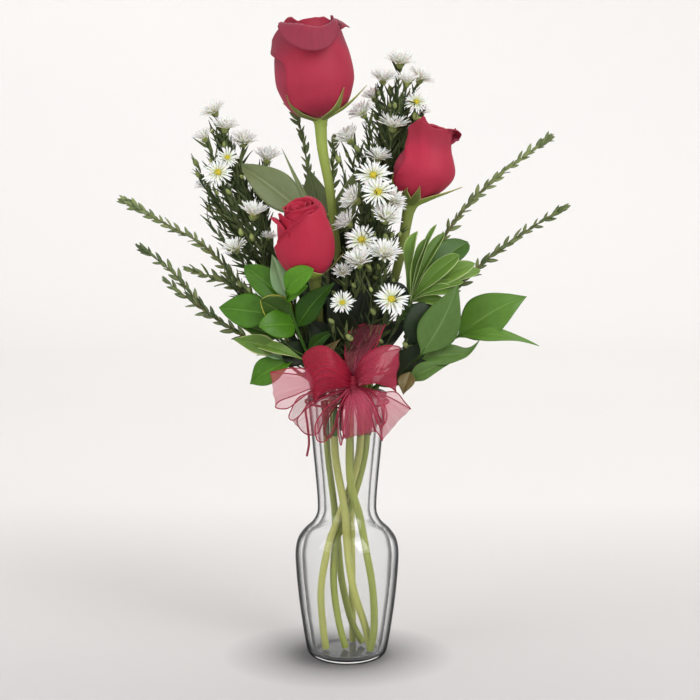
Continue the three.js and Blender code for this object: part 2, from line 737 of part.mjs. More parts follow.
const MYRTLE_LEAVES = {
  to: 1, every: 12.5, length: 13, width: 4.2, lean: 34, angles: [0, 180], turn: 90,
};
const TWIG_SHAPES = {
  main: { radii: [[0, 1.4], [0.5, 1.1], [1, 0.5]], steps: 12, from: 0.36 },
  side: { radii: [[0, 0.8], [1, 0.5]], steps: 4, from: 0.1 },
};
function twig({ routes }) {
  const parts = routes.flatMap((route, i) => {
    const curve = smooth(points(route));
    const { radii, steps, from } = i === 0 ? TWIG_SHAPES.main : TWIG_SHAPES.side;
    return [
      stem(curve, radii, { sides: 4, steps, pointed: true }),
      ...leafletsAlong(curve, { from, ...MYRTLE_LEAVES }),
    ];
  });
  return join(parts);
}

// ---- Leafy stems -----------------------------------------------------------------
// A leaf is set on its stem at a share of the stem's length and reaches to its tip.
const LEAFY_STEMS = [
  {
    name: 'ruscus_left',
    finish: 'leaf',
    route: [
      [-8, -13.5, 162], [-9.5, -15.5, 190], [-24, -22, 215], [-34, -26, 238], [-41, -27, 262],
    ],
    leaves: [
      { at: 0.95, tip: [-70, -20, 282], width: 24, face: [0, -0.9, 0.6] },
      { at: 0.99, tip: [-49, -23, 289], width: 16, face: [0.3, -1, 0.2] },
      { at: 0.99, tip: [-22, -45, 283], width: 17, face: [-0.3, -0.9, 0.4] },
      { at: 0.8, tip: [-89, -17, 251], width: 22, face: [0, -0.8, 0.6], outline: 'stalked' },
      { at: 0.86, tip: [-58, -46, 238], width: 29, face: [0, -0.8, 0.8], outline: 'round', arch: 2 },
      { at: 0.64, tip: [-79, -20, 230], width: 25, face: [0, -0.9, 0.5], outline: 'stalked' },
      { at: 0.46, tip: [-68, -28, 200], width: 24, face: [0, -0.9, 0.5], outline: 'stalked', arch: 8 },
      { at: 0.8, tip: [-8, -39, 270], width: 20, face: [0, -1, 0.3] },
      { at: 0.9, tip: [-28, -38, 268], width: 8, face: [0, -1, 0.4] },
    ],
  },
  {
    name: 'pittosporum_right',
    finish: 'leaf',
    route: [[8, -13.5, 162], [9.5, -15.5, 190], [24, -20, 222], [38, -21, 246], [45, -20, 260]],
    leaves: [
      { at: 1, tip: [49, -28, 305], width: 9, face: [-0.6, -0.8, 0], outline: 'spoon' },
      { at: 1, tip: [60, -18, 309], width: 6, face: [-0.7, -0.7, 0], outline: 'spoon' },
      { at: 1, tip: [67, -8, 303], width: 9, face: [-0.5, -0.8, 0.2], outline: 'spoon' },
      { at: 1, tip: [72, -28, 291], width: 17, face: [-0.4, -0.8, 0.4], outline: 'spoon' },
      { at: 1, tip: [82, -2, 297], width: 17, face: [-0.4, -0.8, 0.5], outline: 'spoon' },
      { at: 1, tip: [87, -26, 285], width: 16, face: [-0.2, -0.8, 0.6], outline: 'spoon' },
      { at: 0.98, tip: [92, -14, 277], width: 9, face: [0, -0.8, 0.6], outline: 'spoon' },
      { at: 0.98, tip: [78, -34, 268], width: 8, face: [0, -0.8, 0.6], outline: 'spoon' },
      { at: 0.96, tip: [64, -38, 252], width: 8, face: [0, -0.8, 0.6], outline: 'spoon' },
    ],
  },
  {
    name: 'salal_right',
    finish: 'leaf',
    route: [[13, -8, 162], [15.5, -9.5, 190], [34, -14, 207], [56, -18, 222], [80, -21, 234]],
    leaves: [
      { at: 1, tip: [123, -22, 260], width: 30, face: [0, -0.8, 0.6], arch: 6 },
      { at: 0.99, tip: [131, -30, 228], width: 10, face: [0, -0.7, 0.8], outline: 'lance', arch: 6 },
      { at: 0.68, tip: [77, -30, 268], width: 26, face: [-0.4, -0.9, 0] },
      { at: 0.62, tip: [89, -38, 229], width: 14, face: [0, -0.8, 0.7], arch: 6 },
      { at: 0.42, tip: [73, -38, 216], width: 13, face: [0, -0.8, 0.6], arch: 5 },
      { at: 0.34, tip: [44, -40, 196], width: 11, face: [0, -0.9, 0.3], arch: 5 },
      { at: 0.38, tip: [50, -34, 252], width: 27, face: [0, -1, 0] },
    ],
  },
  {
    name: 'broad_leaves',
    finish: 'oliveLeaf',
    route: [[-3.5, 7.5, 162], [-5, 9.5, 190], [-9, 12, 240], [-13, 12, 285], [-16, 11, 308]],
    leaves: [
      { at: 1, tip: [-76, 5, 350], width: 27, face: [0.1, -0.9, 0.5], outline: 'stalked', arch: 5 },
      { at: 0.98, tip: [-27, 17, 346], width: 21, face: [-0.2, -1, 0] },
      { at: 0.95, tip: [14, 15, 355], width: 15, face: [0.3, -1, 0] },
      { at: 0.9, tip: [-46, 16, 361], width: 4, face: [0, -1, 0.2], outline: 'lance' },
      { at: 0.9, tip: [8, 4, 325], width: 16, face: [0, -0.9, 0.3] },
    ],
  },
  {
    name: 'dark_leaves_front',
    finish: 'darkLeaf',
    route: [[0, -15.5, 162], [0, -18, 190], [1, -22, 212], [2, -24, 228]],
    leaves: [
      { at: 0.95, tip: [-14, -32, 266], width: 20, face: [0, -1, 0.2] },
      { at: 0.95, tip: [13, -28, 268], width: 14, face: [0.2, -1, 0.1] },
      { at: 0.6, tip: [22, -34, 240], width: 15, face: [0.2, -1, 0.2] },
      { at: 0.8, tip: [-28, -38, 240], width: 18, face: [0, -1, 0.4] },
      { at: 0.7, tip: [-34, -36, 214], width: 16, face: [0, -1, 0.5] },
    ],
  },
  {
    name: 'dark_leaves_back',
    finish: 'darkLeaf',
    route: [[-7.5, 13, 162], [-9.5, 15.5, 190], [-14, 27, 218], [-14, 36, 242]],
    leaves: [
      { at: 0.98, tip: [-42, 44, 270], width: 21, face: [0, 1, 0.5], arch: 6 },
      { at: 1, tip: [-22, 44, 296], width: 20, face: [0, 1, 0.2], arch: 5 },
      { at: 1, tip: [10, 44, 292], width: 20, face: [0, 1, 0.2], arch: 5 },
      { at: 0.9, tip: [32, 42, 266], width: 21, face: [0, 1, 0.5], arch: 6 },
      { at: 0.7, tip: [36, 40, 230], width: 18, face: [0, 0.9, 0.6], arch: 7 },
      { at: 0.7, tip: [-48, 36, 232], width: 18, face: [0, 0.9, 0.6], arch: 7 },
      { at: 0.75, tip: [-6, 56, 226], width: 18, face: [0, 0.6, 0.9], arch: 7 },
    ],
  },
];

// A leaf that would touch a neighbour swings its tip forward or back, up or down,
// until it is clear.
const SWINGS = [0, -5, 5, -10, 10, -16, 16];
const LIFTS = [0, 5, -5];
const LAST_NODE = 0.96; // the share of a stem's length at which its last leaves sit
function leafyStem({ route, leaves }) {
  const curve = smooth(points(route));
  const blades = leaves.map(({ at, tip: [x, y, z], ...shape }) => {
    const root = curve.getPointAt(Math.min(at, LAST_NODE)).toArray();
    const tries = SWINGS.flatMap((swing) =>
      LIFTS.map((lift) => () => leaf({ root, tip: [x, y + swing, z + lift], ...shape })),
    );
    return firstClear(tries);
  });
  const shaft = stem(curve, [[0, 1.5], [0.6, 1.3], [1, 0.9]], { sides: 5, steps: 8 });
  return join([shaft, ...blades.filter(Boolean)]);
}

arrangement.name = 'roses_in_a_vase';
addNode('vase', vaseBody(), FINISHES.glass);
for (const rose of ROSES) {
  addNode(`${rose.name}_bloom`, bloom(rose), FINISHES.petal);
  addNode(`${rose.name}_stem`, roseStem(rose), FINISHES.stem);
}
addNode('ribbon_bow', bow(), FINISHES.ribbon);
addNode('bow_tie', tie(), FINISHES.ribbon);
for (const spray of SPRAYS) {
  spray.flowers.forEach((flower, i) =>
    addNode(`${spray.name}_flower_${i + 1}`, asterHead(flower), FINISHES.aster),
  );
}
for (const spray of SPRAYS) {
  addNode(`${spray.name}_spray`, asterSpray(spray), FINISHES.asterGreen);
}
for (const leafy of LEAFY_STEMS) addNode(leafy.name, leafyStem(leafy), FINISHES[leafy.finish]);
for (const sprig of TWIGS) addNode(sprig.name, twig(sprig), FINISHES.myrtle);

export default arrangement;
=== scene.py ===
import random
from math import cos, hypot, pi, radians, sin

import bpy
from mathutils import Matrix, Vector, noise


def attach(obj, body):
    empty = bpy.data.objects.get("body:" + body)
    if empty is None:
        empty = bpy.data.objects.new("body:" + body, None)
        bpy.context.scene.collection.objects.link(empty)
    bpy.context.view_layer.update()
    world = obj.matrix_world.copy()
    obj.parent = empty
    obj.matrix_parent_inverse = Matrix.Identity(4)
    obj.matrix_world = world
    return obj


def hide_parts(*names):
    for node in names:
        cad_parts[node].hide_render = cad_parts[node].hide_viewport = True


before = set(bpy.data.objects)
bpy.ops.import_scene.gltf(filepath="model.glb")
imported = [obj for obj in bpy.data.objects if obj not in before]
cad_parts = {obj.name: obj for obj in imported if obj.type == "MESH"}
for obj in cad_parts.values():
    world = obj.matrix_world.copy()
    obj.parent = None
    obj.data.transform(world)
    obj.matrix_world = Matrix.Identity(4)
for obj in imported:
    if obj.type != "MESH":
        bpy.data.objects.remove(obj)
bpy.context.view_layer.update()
bpy.ops.object.select_all(action="DESELECT")

# ---- Studio ------------------------------------------------------------------------
# A pale seamless floor that sweeps up into a wall all round the vase, lit by a tall
# soft lamp at the upper right, weaker ones at the left and behind, and a pale sky.
# The camera stands a metre away and looks slightly down.
MM = 0.001
CAMERA_PLACE = Vector((2.1, -1080, 360.5)) * MM
CAMERA_DIP = radians(7.4)

bpy.ops.object.camera_add(location=CAMERA_PLACE, rotation=(pi / 2 - CAMERA_DIP, 0, 0))
camera = bpy.context.object
camera.data.lens = 80
camera.data.sensor_width = 36
camera.data.clip_start = 0.05
bpy.context.scene.camera = camera
bpy.context.scene.view_settings.view_transform = "Standard"


def colour(code):
    """Linear red, green, blue and alpha of a six-digit colour code."""
    shares = [int(code[i : i + 2], 16) / 255 for i in (0, 2, 4)]
    return (*(((s + 0.055) / 1.055) ** 2.4 if s > 0.04045 else s / 12.92 for s in shares), 1)


def material(name, **settings):
    """A new material's tree and shader, with sockets set by name to values or colour codes."""
    made = bpy.data.materials.new(name)
    made.use_nodes = True
    shader = made.node_tree.nodes["Principled BSDF"]
    for socket, value in settings.items():
        value = colour(value) if isinstance(value, str) else value
        shader.inputs[socket.replace("_", " ")].default_value = value
    return made, made.node_tree, shader


def node(tree, kind, inputs=None, **settings):
    """A node with its settings, its inputs linked to sockets or set to values or colour codes."""
    made = tree.nodes.new("ShaderNode" + kind)
    for key, value in settings.items():
        setattr(made, key, value)
    for socket, value in (inputs or {}).items():
        if isinstance(value, bpy.types.NodeSocket):
            tree.links.new(value, made.inputs[socket])
        else:
            made.inputs[socket].default_value = colour(value) if isinstance(value, str) else value
    return made


def calc(tree, operation, *values):
    """The result of a sum on sockets or numbers."""
    return node(tree, "Math", dict(enumerate(values)), operation=operation).outputs[0]


def blend(tree, factor, first, second, way="MIX"):
    """Two colours mixed by a factor from 0 to 1."""
    inputs = {0: factor, 6: first, 7: second}
    return node(tree, "Mix", inputs, data_type="RGBA", blend_type=way).outputs[2]


def ramp(tree, factor, *stops):
    """A colour read from stops of (place, colour code or grey level) along a factor."""
    made = node(tree, "ValToRGB", {0: factor})
    elements = made.color_ramp.elements
    while len(elements) < len(stops):
        elements.new(0.5)
    for element, (place, stop) in zip(elements, stops):
        element.position = place
        element.color = colour(stop) if isinstance(stop, str) else (stop, stop, stop, 1)
    return made.outputs["Color"]


def on_object(tree):
    """The place on a piece, in metres, that a pattern follows."""
    return node(tree, "TexCoord").outputs["Object"]


def stretched(tree, where, scale, shift=(0, 0, 0)):
    """A place with its three parts scaled, then shifted."""
    return node(tree, "Mapping", {"Vector": where, "Location": shift, "Scale": scale}).outputs[0]


def distance(tree, where):
    """How far a place is from the origin."""
    return node(tree, "VectorMath", {0: where}, operation="LENGTH").outputs["Value"]


def cloudy(tree, where, scale, detail=2.0):
    """A soft random tone from 0 to 1 over a place."""
    return node(tree, "TexNoise", {"Vector": where, "Scale": scale, "Detail": detail}).outputs["Fac"]


def feed(shader, socket, source):
    """Links a socket of a shader to the output of a node."""
    shader.id_data.links.new(source, shader.inputs[socket])


def turned(sides, profile):
    """A body of revolution about Z through (radius, height) rows, open at both ends."""
    first = profile[0]
    bpy.ops.mesh.primitive_circle_add(vertices=sides, radius=first[0], location=(0, 0, first[1]))
    bpy.ops.object.transform_apply(location=True)
    bpy.ops.object.mode_set(mode="EDIT")
    bpy.ops.mesh.select_all(action="SELECT")
    for (reach, level), (radius, height) in zip(profile, profile[1:]):
        bpy.ops.mesh.extrude_edges_move(TRANSFORM_OT_translate={"value": (0, 0, height - level)})
        grow = radius / reach
        bpy.ops.transform.resize(value=(grow, grow, 1), center_override=(0, 0, 0))
    bpy.ops.object.mode_set(mode="OBJECT")
    bpy.ops.object.shade_smooth()
    return bpy.context.object


MIDDLE_RADIUS = 0.1
FLOOR_RADIUS = 1.7
SWEEP_RADIUS = 1.0
SWEEP_STEPS = 16
WALL_HEIGHT = 3.2
sweep = [(MIDDLE_RADIUS, 0), (0.4, 0), (0.9, 0), (FLOOR_RADIUS, 0)]
for step in range(1, SWEEP_STEPS + 1):
    turn = pi / 2 * step / SWEEP_STEPS
    sweep.append((FLOOR_RADIUS + SWEEP_RADIUS * sin(turn), SWEEP_RADIUS * (1 - cos(turn))))
sweep.append((FLOOR_RADIUS + SWEEP_RADIUS, WALL_HEIGHT))
backdrop = turned(128, sweep)
backdrop.name = "studio_backdrop"
bpy.ops.object.mode_set(mode="EDIT")
bpy.ops.mesh.select_all(action="DESELECT")
bpy.ops.object.mode_set(mode="OBJECT")
for edge in backdrop.data.edges:
    ends = [backdrop.data.vertices[i].co for i in edge.vertices]
    edge.select = all(hypot(end.x, end.y) < 1.1 * MIDDLE_RADIUS for end in ends)
bpy.ops.object.mode_set(mode="EDIT")
bpy.ops.mesh.edge_face_add()
bpy.ops.mesh.select_all(action="SELECT")
bpy.ops.mesh.normals_make_consistent(inside=True)
bpy.ops.object.mode_set(mode="OBJECT")

paper, tree, shader = material("studio_paper", Roughness=0.95, Specular_IOR_Level=0.1)
spot = on_object(tree)
# Painted shade: the paper's tone deepens towards a place on the floor just in front of the vase.
reach = distance(tree, stretched(tree, spot, (0.35, 1, 1), shift=(0, 0.15, 0)))
grain = cloudy(tree, spot, 3.0)
level = calc(tree, "MULTIPLY_ADD", grain, 0.02, calc(tree, "DIVIDE", reach, 3.0))
paper_tone = ramp(
    tree, level, (0.02, "c8c5c5"), (0.1, "d5d2d1"), (0.22, "e9e6e5"), (0.43, "e5e2e0"),
    (0.62, "e4e2e0"), (0.9, "e7e6e5"), (0.98, "edecea"),
)
# A dark rim of shade where the foot stands, and the light that the foot gathers under it,
# both placed in tenths of a metre from the middle of the foot.
close = distance(tree, stretched(tree, spot, (0.74, 0.85, 1), shift=(0.0045, 0, 0)))
shade = ramp(
    tree, calc(tree, "MULTIPLY", close, 10.0), (0.0, "808082"), (0.19, "8c8c8e"), (0.26, "acacad"),
    (0.3, "c0c0c1"), (0.36, "d0d0d1"), (0.46, "e6e6e7"), (0.62, "ffffff"),
)
paper_tone = blend(tree, 1.0, paper_tone, shade, way="MULTIPLY")
mottle = cloudy(tree, spot, 160.0, 3.0)
under_foot = ramp(tree, calc(tree, "MULTIPLY", distance(tree, spot), 10.0), (0.21, 1), (0.24, 0))
gathered = calc(tree, "MULTIPLY", under_foot, calc(tree, "MULTIPLY_ADD", mottle, 0.9, 0.05))
# Painted light: the paper glows in its own tone, under the foot and a little more the farther off it lies.
far_glow = ramp(tree, level, (0.15, 0), (0.9, 0.2))
feed(shader, "Emission Color", paper_tone)
feed(shader, "Emission Strength", calc(tree, "ADD", gathered, far_glow))
# Painted reflection: the paper is painted dark where glass and glossy leaves mirror it.
path = node(tree, "LightPath").outputs
not_scattered = calc(tree, "SUBTRACT", 1.0, path["Is Diffuse Ray"])
mirrored = calc(tree, "MULTIPLY", path["Is Reflection Ray"], not_scattered)
dimmed = blend(tree, calc(tree, "MULTIPLY", mirrored, 0.75), paper_tone, "1c1d1e")
feed(shader, "Base Color", dimmed)
backdrop.data.materials.append(paper)

LAMPS_AIM = Vector((0, 0, 0.24))
# name, place, width and height of the lamp, power in watts
LAMPS = [
    ("key_lamp", (1.15, -1.3, 1.5), 1.0, 1.9, 23),
    ("fill_lamp", (-1.6, -1.1, 1.0), 1.3, 1.3, 13),
    ("back_lamp", (0.3, 1.5, 1.8), 1.6, 1.6, 10),
]
for name, spot, width, tall, power in LAMPS:
    bpy.ops.object.light_add(type="AREA", location=spot)
    lamp = bpy.context.object
    lamp.name = name
    lamp.data.shape = "RECTANGLE"
    lamp.data.size = width
    lamp.data.size_y = tall
    lamp.visible_glossy = name != "fill_lamp"
    lamp.data.energy = power
    lamp.rotation_euler = (LAMPS_AIM - lamp.location).to_track_quat("-Z", "Y").to_euler()
    lamp.visible_camera = False

air = bpy.data.worlds.new("studio_air")
air.use_nodes = True
glow = air.node_tree.nodes["Background"].inputs
glow["Color"].default_value = colour("fafafb")
glow["Strength"].default_value = 0.6
bpy.context.scene.world = air

# ---- Vase --------------------------------------------------------------------------
# A clear pressed-glass bud vase, turned here as one wall: a heavy foot, a swelling
# body, a neck drawn in at the shoulder and a flared rim with a rounded lip.
VASE_HEIGHT = 190
RIM_RADIUS = 28
WALL = 4.6
FLOOR_THICKNESS = 4
LIP = 1
INNER_FLOOR_RADIUS = 21
VASE_SIDES = 128
FINE_STEPS = 12  # points that a smooth curve has between two of its corners
# Outer profile, radius and height.
VASE_PROFILE = [
    (24, 0), (27.6, 2.6), (29.4, 9), (32, 25), (34.4, 43), (36.2, 63), (36.6, 77), (34.8, 85.5),
    (30.6, 91.6), (24.4, 97.6), (21.2, 104), (20.8, 111), (24.1, 151), (RIM_RADIUS, VASE_HEIGHT),
]


def close_ends(piece):
    """Closes the open rings of a turned body with fans of triangles."""
    bpy.ops.object.mode_set(mode="EDIT")
    bpy.ops.mesh.select_all(action="SELECT")
    bpy.ops.mesh.fill_holes(sides=0)
    bpy.ops.mesh.select_all(action="DESELECT")
    bpy.ops.mesh.select_face_by_sides(number=4, type="GREATER")
    bpy.ops.mesh.poke()
    bpy.ops.mesh.select_all(action="SELECT")
    bpy.ops.mesh.normals_make_consistent(inside=False)
    bpy.ops.object.mode_set(mode="OBJECT")
    return piece


def smooth_route(corners, steps):
    """Even steps along a smooth curve through corners, as a list of points in metres."""
    spots = [Vector(corner) * MM for corner in corners]
    spots = [2 * spots[0] - spots[1], *spots, 2 * spots[-1] - spots[-2]]
    fine = []
    for before, start, end, after in zip(spots, spots[1:], spots[2:], spots[3:]):
        pairs = ((before, start), (start, end), (end, after))
        d0, d1, d2 = (max((b - a).length ** 0.5, 1e-4) for a, b in pairs)
        leave = ((start - before) / d0 - (end - before) / (d0 + d1)) * d1 + (end - start)
        arrive = ((after - end) / d2 - (after - start) / (d1 + d2)) * d1 + (end - start)
        for k in range(FINE_STEPS):
            s = k / FINE_STEPS
            bend_back = (3 * s * s - 2 * s ** 3) * (end - start)
            fine.append(start + bend_back + (s ** 3 - 2 * s * s + s) * leave + (s ** 3 - s * s) * arrive)
    fine.append(spots[-2])
    lengths = [0.0]
    for a, b in zip(fine, fine[1:]):
        lengths.append(lengths[-1] + (b - a).length)
    made, k = [], 0
    for step in range(steps + 1):
        goal = lengths[-1] * step / steps
        while k < len(fine) - 2 and lengths[k + 1] < goal:
            k += 1
        share = (goal - lengths[k]) / max(lengths[k + 1] - lengths[k], 1e-9)
        made.append(fine[k].lerp(fine[k + 1], min(share, 1)))
    return made


def place(piece, name, slot, *nodes):
    """Names a finished piece, fixes it in the arrangement and hides the plain parts it stands for. The slot
    is not used.
    """
    piece.name = name
    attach(piece, "root")
    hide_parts(*nodes)
    return piece


def axis(tree, where, number):
    """One of the three parts, 0 to 2, of a place or a way."""
    return node(tree, "SeparateXYZ", {0: where}).outputs[number]


def emboss(shader, height, strength, depth):
    """Raises a surface by a tone, to a depth in metres."""
    inputs = {"Strength": strength, "Distance": depth, "Height": height}
    feed(shader, "Normal", node(shader.id_data, "Bump", inputs).outputs[0])


outside = [(p.x, p.z) for p in smooth_route([(r, 0, z) for r, z in VASE_PROFILE], 72)]
lip_centre, lip_height = RIM_RADIUS - WALL / 2, VASE_HEIGHT - LIP
lip = [
    ((lip_centre + WALL / 2 * cos(turn)) * MM, (lip_height + 2 * LIP * sin(turn)) * MM)
    for turn in (pi * k / 8 for k in range(1, 8))
]
inner_rows = [(INNER_FLOOR_RADIUS, 0, FLOOR_THICKNESS), (23.6, 0, 5.4)]
inner_rows += [(r - WALL, 0, z) for r, z in VASE_PROFILE[2:-1]]
inner_rows.append((RIM_RADIUS - WALL, 0, lip_height))
inside = [(p.x, p.z) for p in smooth_route(inner_rows, 64)][::-1]
foot = [(r * MM, 0) for r in (4, 12, 20)]
inner_floor = [(r * MM, FLOOR_THICKNESS * MM) for r in (17, 11, 4)]
vase = close_ends(turned(VASE_SIDES, [*foot, *outside, *lip, *inside, *inner_floor]))

glass, tree, shader = material("clear_glass", Roughness=0.0, IOR=1.45, Transmission_Weight=1.0)
# Painted dark reflection: glass seen along its wall is painted dark; the level floor and foot stay clear.
edge_on = node(tree, "LayerWeight", {"Blend": 0.5}).outputs["Facing"]
spot = on_object(tree)
level = calc(tree, "ABSOLUTE", axis(tree, node(tree, "NewGeometry").outputs["Normal"], 2))
standing = ramp(tree, level, (0.72, 1), (0.92, 0))
through_wall = calc(tree, "MULTIPLY", edge_on, standing)
body_tone = ramp(
    tree, through_wall, (0.0, "fdfefe"), (0.54, "f6f8f8"), (0.62, "7c8082"), (0.69, "121415"),
    (0.77, 0),
)
feed(shader, "Base Color", body_tone)
waves = cloudy(tree, spot, 42.0, 1.0)
emboss(shader, waves, strength=0.25, depth=0.0006)
lamp_light = node(tree, "LightPath").outputs["Is Shadow Ray"]
height = axis(tree, spot, 2)
tenths = calc(tree, "DIVIDE", height, 0.1)
shade = ramp(tree, tenths, (0.0, "c4c6c7"), (0.1, "dcdede"), (0.3, "f2f4f4"))
see_through = node(tree, "BsdfTransparent", {"Color": shade})
mixed = node(tree, "MixShader", {0: lamp_light, 1: shader.outputs[0], 2: see_through.outputs[0]})
tree.links.new(mixed.outputs[0], tree.nodes["Material Output"].inputs["Surface"])
vase.data.materials.append(glass)
place(vase, "vase_glass", "glass", "vase")

# ---- Rose stems --------------------------------------------------------------------
# Three cut rose stems that stand in the vase, each with a swollen hip under its bloom,
# a few thorns, a flat cut end, and five narrow sepals bent back round the petals.
ROSES = [
    {
        "name": "rose_1", "calyx": (-18.6, 6, 381), "crown": (-27.5, 5, 448), "radius": 27.2,
        "tone": 0.35,
        "route": [
            (4.2, 17, 5), (4.1, 17, 20), (3.7, 15.3, 50), (3.4, 13, 80), (3, 11, 106),
            (2.5, 7.3, 147), (2, 3, 190), (-1, 3, 235), (-7, 5, 290), (-12, 6, 332),
            (-17, 6, 360), (-18.2, 6, 376),
        ],
        # Radius of the bloom, as a share of its widest, along its height.
        "profile": [
            (0, 0.3), (0.05, 0.57), (0.13, 0.77), (0.24, 0.9), (0.38, 1), (0.6, 0.97),
            (0.8, 0.85), (0.9, 0.78), (0.97, 0.68), (1.05, 0.62),
        ],
        # azimuth, length along the petals, outward flare, breadth and lean of each sepal
        "sepals": [
            (-52, 30, 1, 1.5), (40, 30, 0.5, 1.5), (62, 31, 9, 1.6, 14), (150, 27, 6, 1.2),
            (-130, 26, 5, 1),
        ],
        # The outer petals, from the outermost: azimuth of the middle, half angle, share of
        # the radius, rows of (place across, height of the rim), then degrees, length in
        # millimetres, place and half-width of the curl of the lip, and tone, a painted light and shade.
        "petals": [
            (
                25, 118, 1, [(-1, 0.84), (-0.85, 0.93), (-0.68, 0.975), (-0.42, 0.935), (-0.18, 0.88),
                (0.08, 0.89), (0.28, 0.93), (0.45, 0.9), (0.7, 0.85), (1, 0.7)],
                (164, 24, -0.2, 0.54), 0.5,
            ),
            (-86, 64, 0.995, [(-1, 0.5), (-0.4, 0.69), (0.4, 0.72), (1, 0.6)], (8, 1, 0, 1), -0.2),
            (112, 56, 0.96, [(-1, 0.8), (-0.2, 0.92), (0.5, 0.93), (1, 0.6)], (150, 12, -0.1, 0.7), 0.4),
            (-150, 72, 0.95, [(-1, 0.7), (-0.3, 0.93), (0.5, 0.9), (1, 0.7)], (150, 14, 0, 0.7), 0.5),
            (-40, 62, 0.86, [(-1, 0.8), (-0.2, 1.02), (0.4, 0.97), (1, 0.8)], (16, 8, 0, 0.8), 0.9),
            (70, 70, 0.84, [(-1, 0.85), (0, 0.96), (0.4, 1.0), (1, 0.8)], (16, 8, 0, 0.8), 0.6),
            (180, 66, 0.86, [(-1, 0.8), (0, 1.0), (1, 0.85)], (30, 8, 0, 0.8), 0.6),
        ],
        # Left and right half of the front petal, as shares of its half angle.
        "front": (
            [
                (0, 0.3), (0.16, 0.58), (0.375, 0.56), (0.525, 0.53), (0.69, 0.56), (0.78, 0.74),
                (0.86, 0.96), (1, 1),
            ],
            [(0, 0.3), (0.17, 0.6), (0.4, 0.78), (0.7, 0.9), (1, 0.9)],
        ),
    },
    {
        "name": "rose_2", "calyx": (44.5, 4, 323), "crown": (58.5, 1, 377), "radius": 21.4,
        "tone": 0.6, "sway": 3.4,
        "route": [
            (-15, -1.7, 5.5), (-17, -1.8, 20), (-18.5, -1.8, 50), (-13, -1.5, 80),
            (-4.2, -0.9, 106), (3, -0.6, 125), (8.5, -0.3, 147), (11, 0, 190), (20, 1, 225),
            (31, 3, 262), (38, 4, 290), (42.9, 4, 318),
        ],
        "profile": [
            (0, 0.28), (0.07, 0.5), (0.16, 0.72), (0.28, 0.9), (0.4, 1), (0.5, 0.98),
            (0.62, 0.84), (0.73, 0.71), (0.85, 0.67), (0.95, 0.7), (1.05, 0.7),
        ],
        "sepals": [
            (-64, 24, 1.5, 1.6), (-26, 17, 0.5, 1.5), (12, 21, 0.5, 1.4, -10), (50, 29, 9, 1.9, 14),
            (160, 22, 6, 1),
        ],
        "petals": [
            (
                22, 96, 1, [(-1, 0.89), (-0.8, 0.97), (-0.62, 1.03), (-0.53, 1.07), (-0.42, 1.02),
                (-0.2, 0.97), (0.1, 0.99), (0.4, 1.0), (0.7, 1.0), (0.9, 0.96), (1, 0.88)],
                (122, 7.5, 0.84, 0.5), 0.78,
            ),
            (-80, 60, 0.95, [(-1, 0.5), (-0.2, 0.74), (0.5, 0.74), (1, 0.6)], (8, 2, 0, 1), -0.2),
            (110, 52, 0.95, [(-1, 0.8), (0, 0.93), (1, 0.7)], (120, 8, 0, 0.95), 0.4),
            (-165, 74, 0.96, [(-1, 0.7), (0, 0.93), (1, 0.7)], (140, 11, 0, 0.7), 0.5),
            (-30, 60, 0.88, [(-1, 0.8), (0, 1.0), (1, 0.8)], (16, 6, 0, 0.8), 0.8),
            (60, 60, 0.9, [(-1, 0.8), (0, 1.01), (0.5, 1.0), (1, 0.8)], (40, 6, 0.2, 0.7), 0.7),
            (170, 60, 0.86, [(-1, 0.8), (0, 1.0), (1, 0.85)], (30, 6, 0, 0.8), 0.6),
        ],
        "front": (
            [
                (0, 0.3), (0.12, 0.7), (0.27, 0.82), (0.36, 0.72), (0.55, 0.66), (0.66, 0.76),
                (0.8, 0.95), (1, 1),
            ],
            [(0, 0.3), (0.17, 0.6), (0.4, 0.85), (0.7, 1), (1, 0.9)],
        ),
    },
    {
        "name": "rose_3", "calyx": (-22.5, -25, 275), "crown": (-33, -42, 324), "radius": 19,
        "tone": 1,
        "route": [
            (16.5, -1.4, 6), (13.5, -2.5, 20), (4.5, -4.5, 50), (0, -6, 80), (-1.4, -6.8, 106),
            (-8, -6.6, 147), (-10, -8, 190), (-15, -13.5, 220), (-19.5, -20, 248),
            (-21.8, -23.8, 270),
        ],
        "profile": [
            (0, 0.3), (0.06, 0.56), (0.14, 0.76), (0.28, 0.93), (0.45, 1), (0.65, 0.96),
            (0.85, 0.84), (0.95, 0.76), (1.05, 0.7),
        ],
        "sepals": [
            (14, 20, 2, 1.9, -26), (84, 18, 5, 1), (-58, 17, 4, 1), (150, 18, 6, 1), (-130, 18, 6, 1),
        ],
        "petals": [
            (
                14, 112, 1, [(-1, 0.5), (-0.7, 0.68), (-0.45, 0.79), (-0.25, 0.87), (0, 0.91),
                (0.4, 0.92), (0.7, 0.92), (0.86, 0.86), (1, 0.6)], (70, 5, -0.4, 0.5), 0.85,
            ),
            (-84, 60, 0.97, [(-1, 0.7), (0, 0.88), (0.6, 0.84), (1, 0.7)], (90, 6, 0.2, 1), 0.7),
            (160, 74, 0.96, [(-1, 0.6), (0, 0.92), (1, 0.7)], (120, 9, 0, 0.8), 0.7),
            (30, 70, 0.88, [(-1, 0.8), (0, 0.95), (1, 0.8)], (16, 3, 0, 1), 0.9),
            (-70, 66, 0.88, [(-1, 0.8), (0, 0.95), (1, 0.85)], (16, 3, 0, 1), 1),
        ],
        "front": (
            [(0, 0.3), (0.15, 0.76), (0.4, 0.9), (1, 0.9)],
            [(0, 0.3), (0.17, 0.76), (0.4, 0.9), (1, 0.9)],
        ),
    },
]
STEM_RADII = [(0, 2.6), (0.6, 2.7), (0.82, 3.1), (0.94, 3.7), (1, 4.6)]
STEM_STEPS = 90
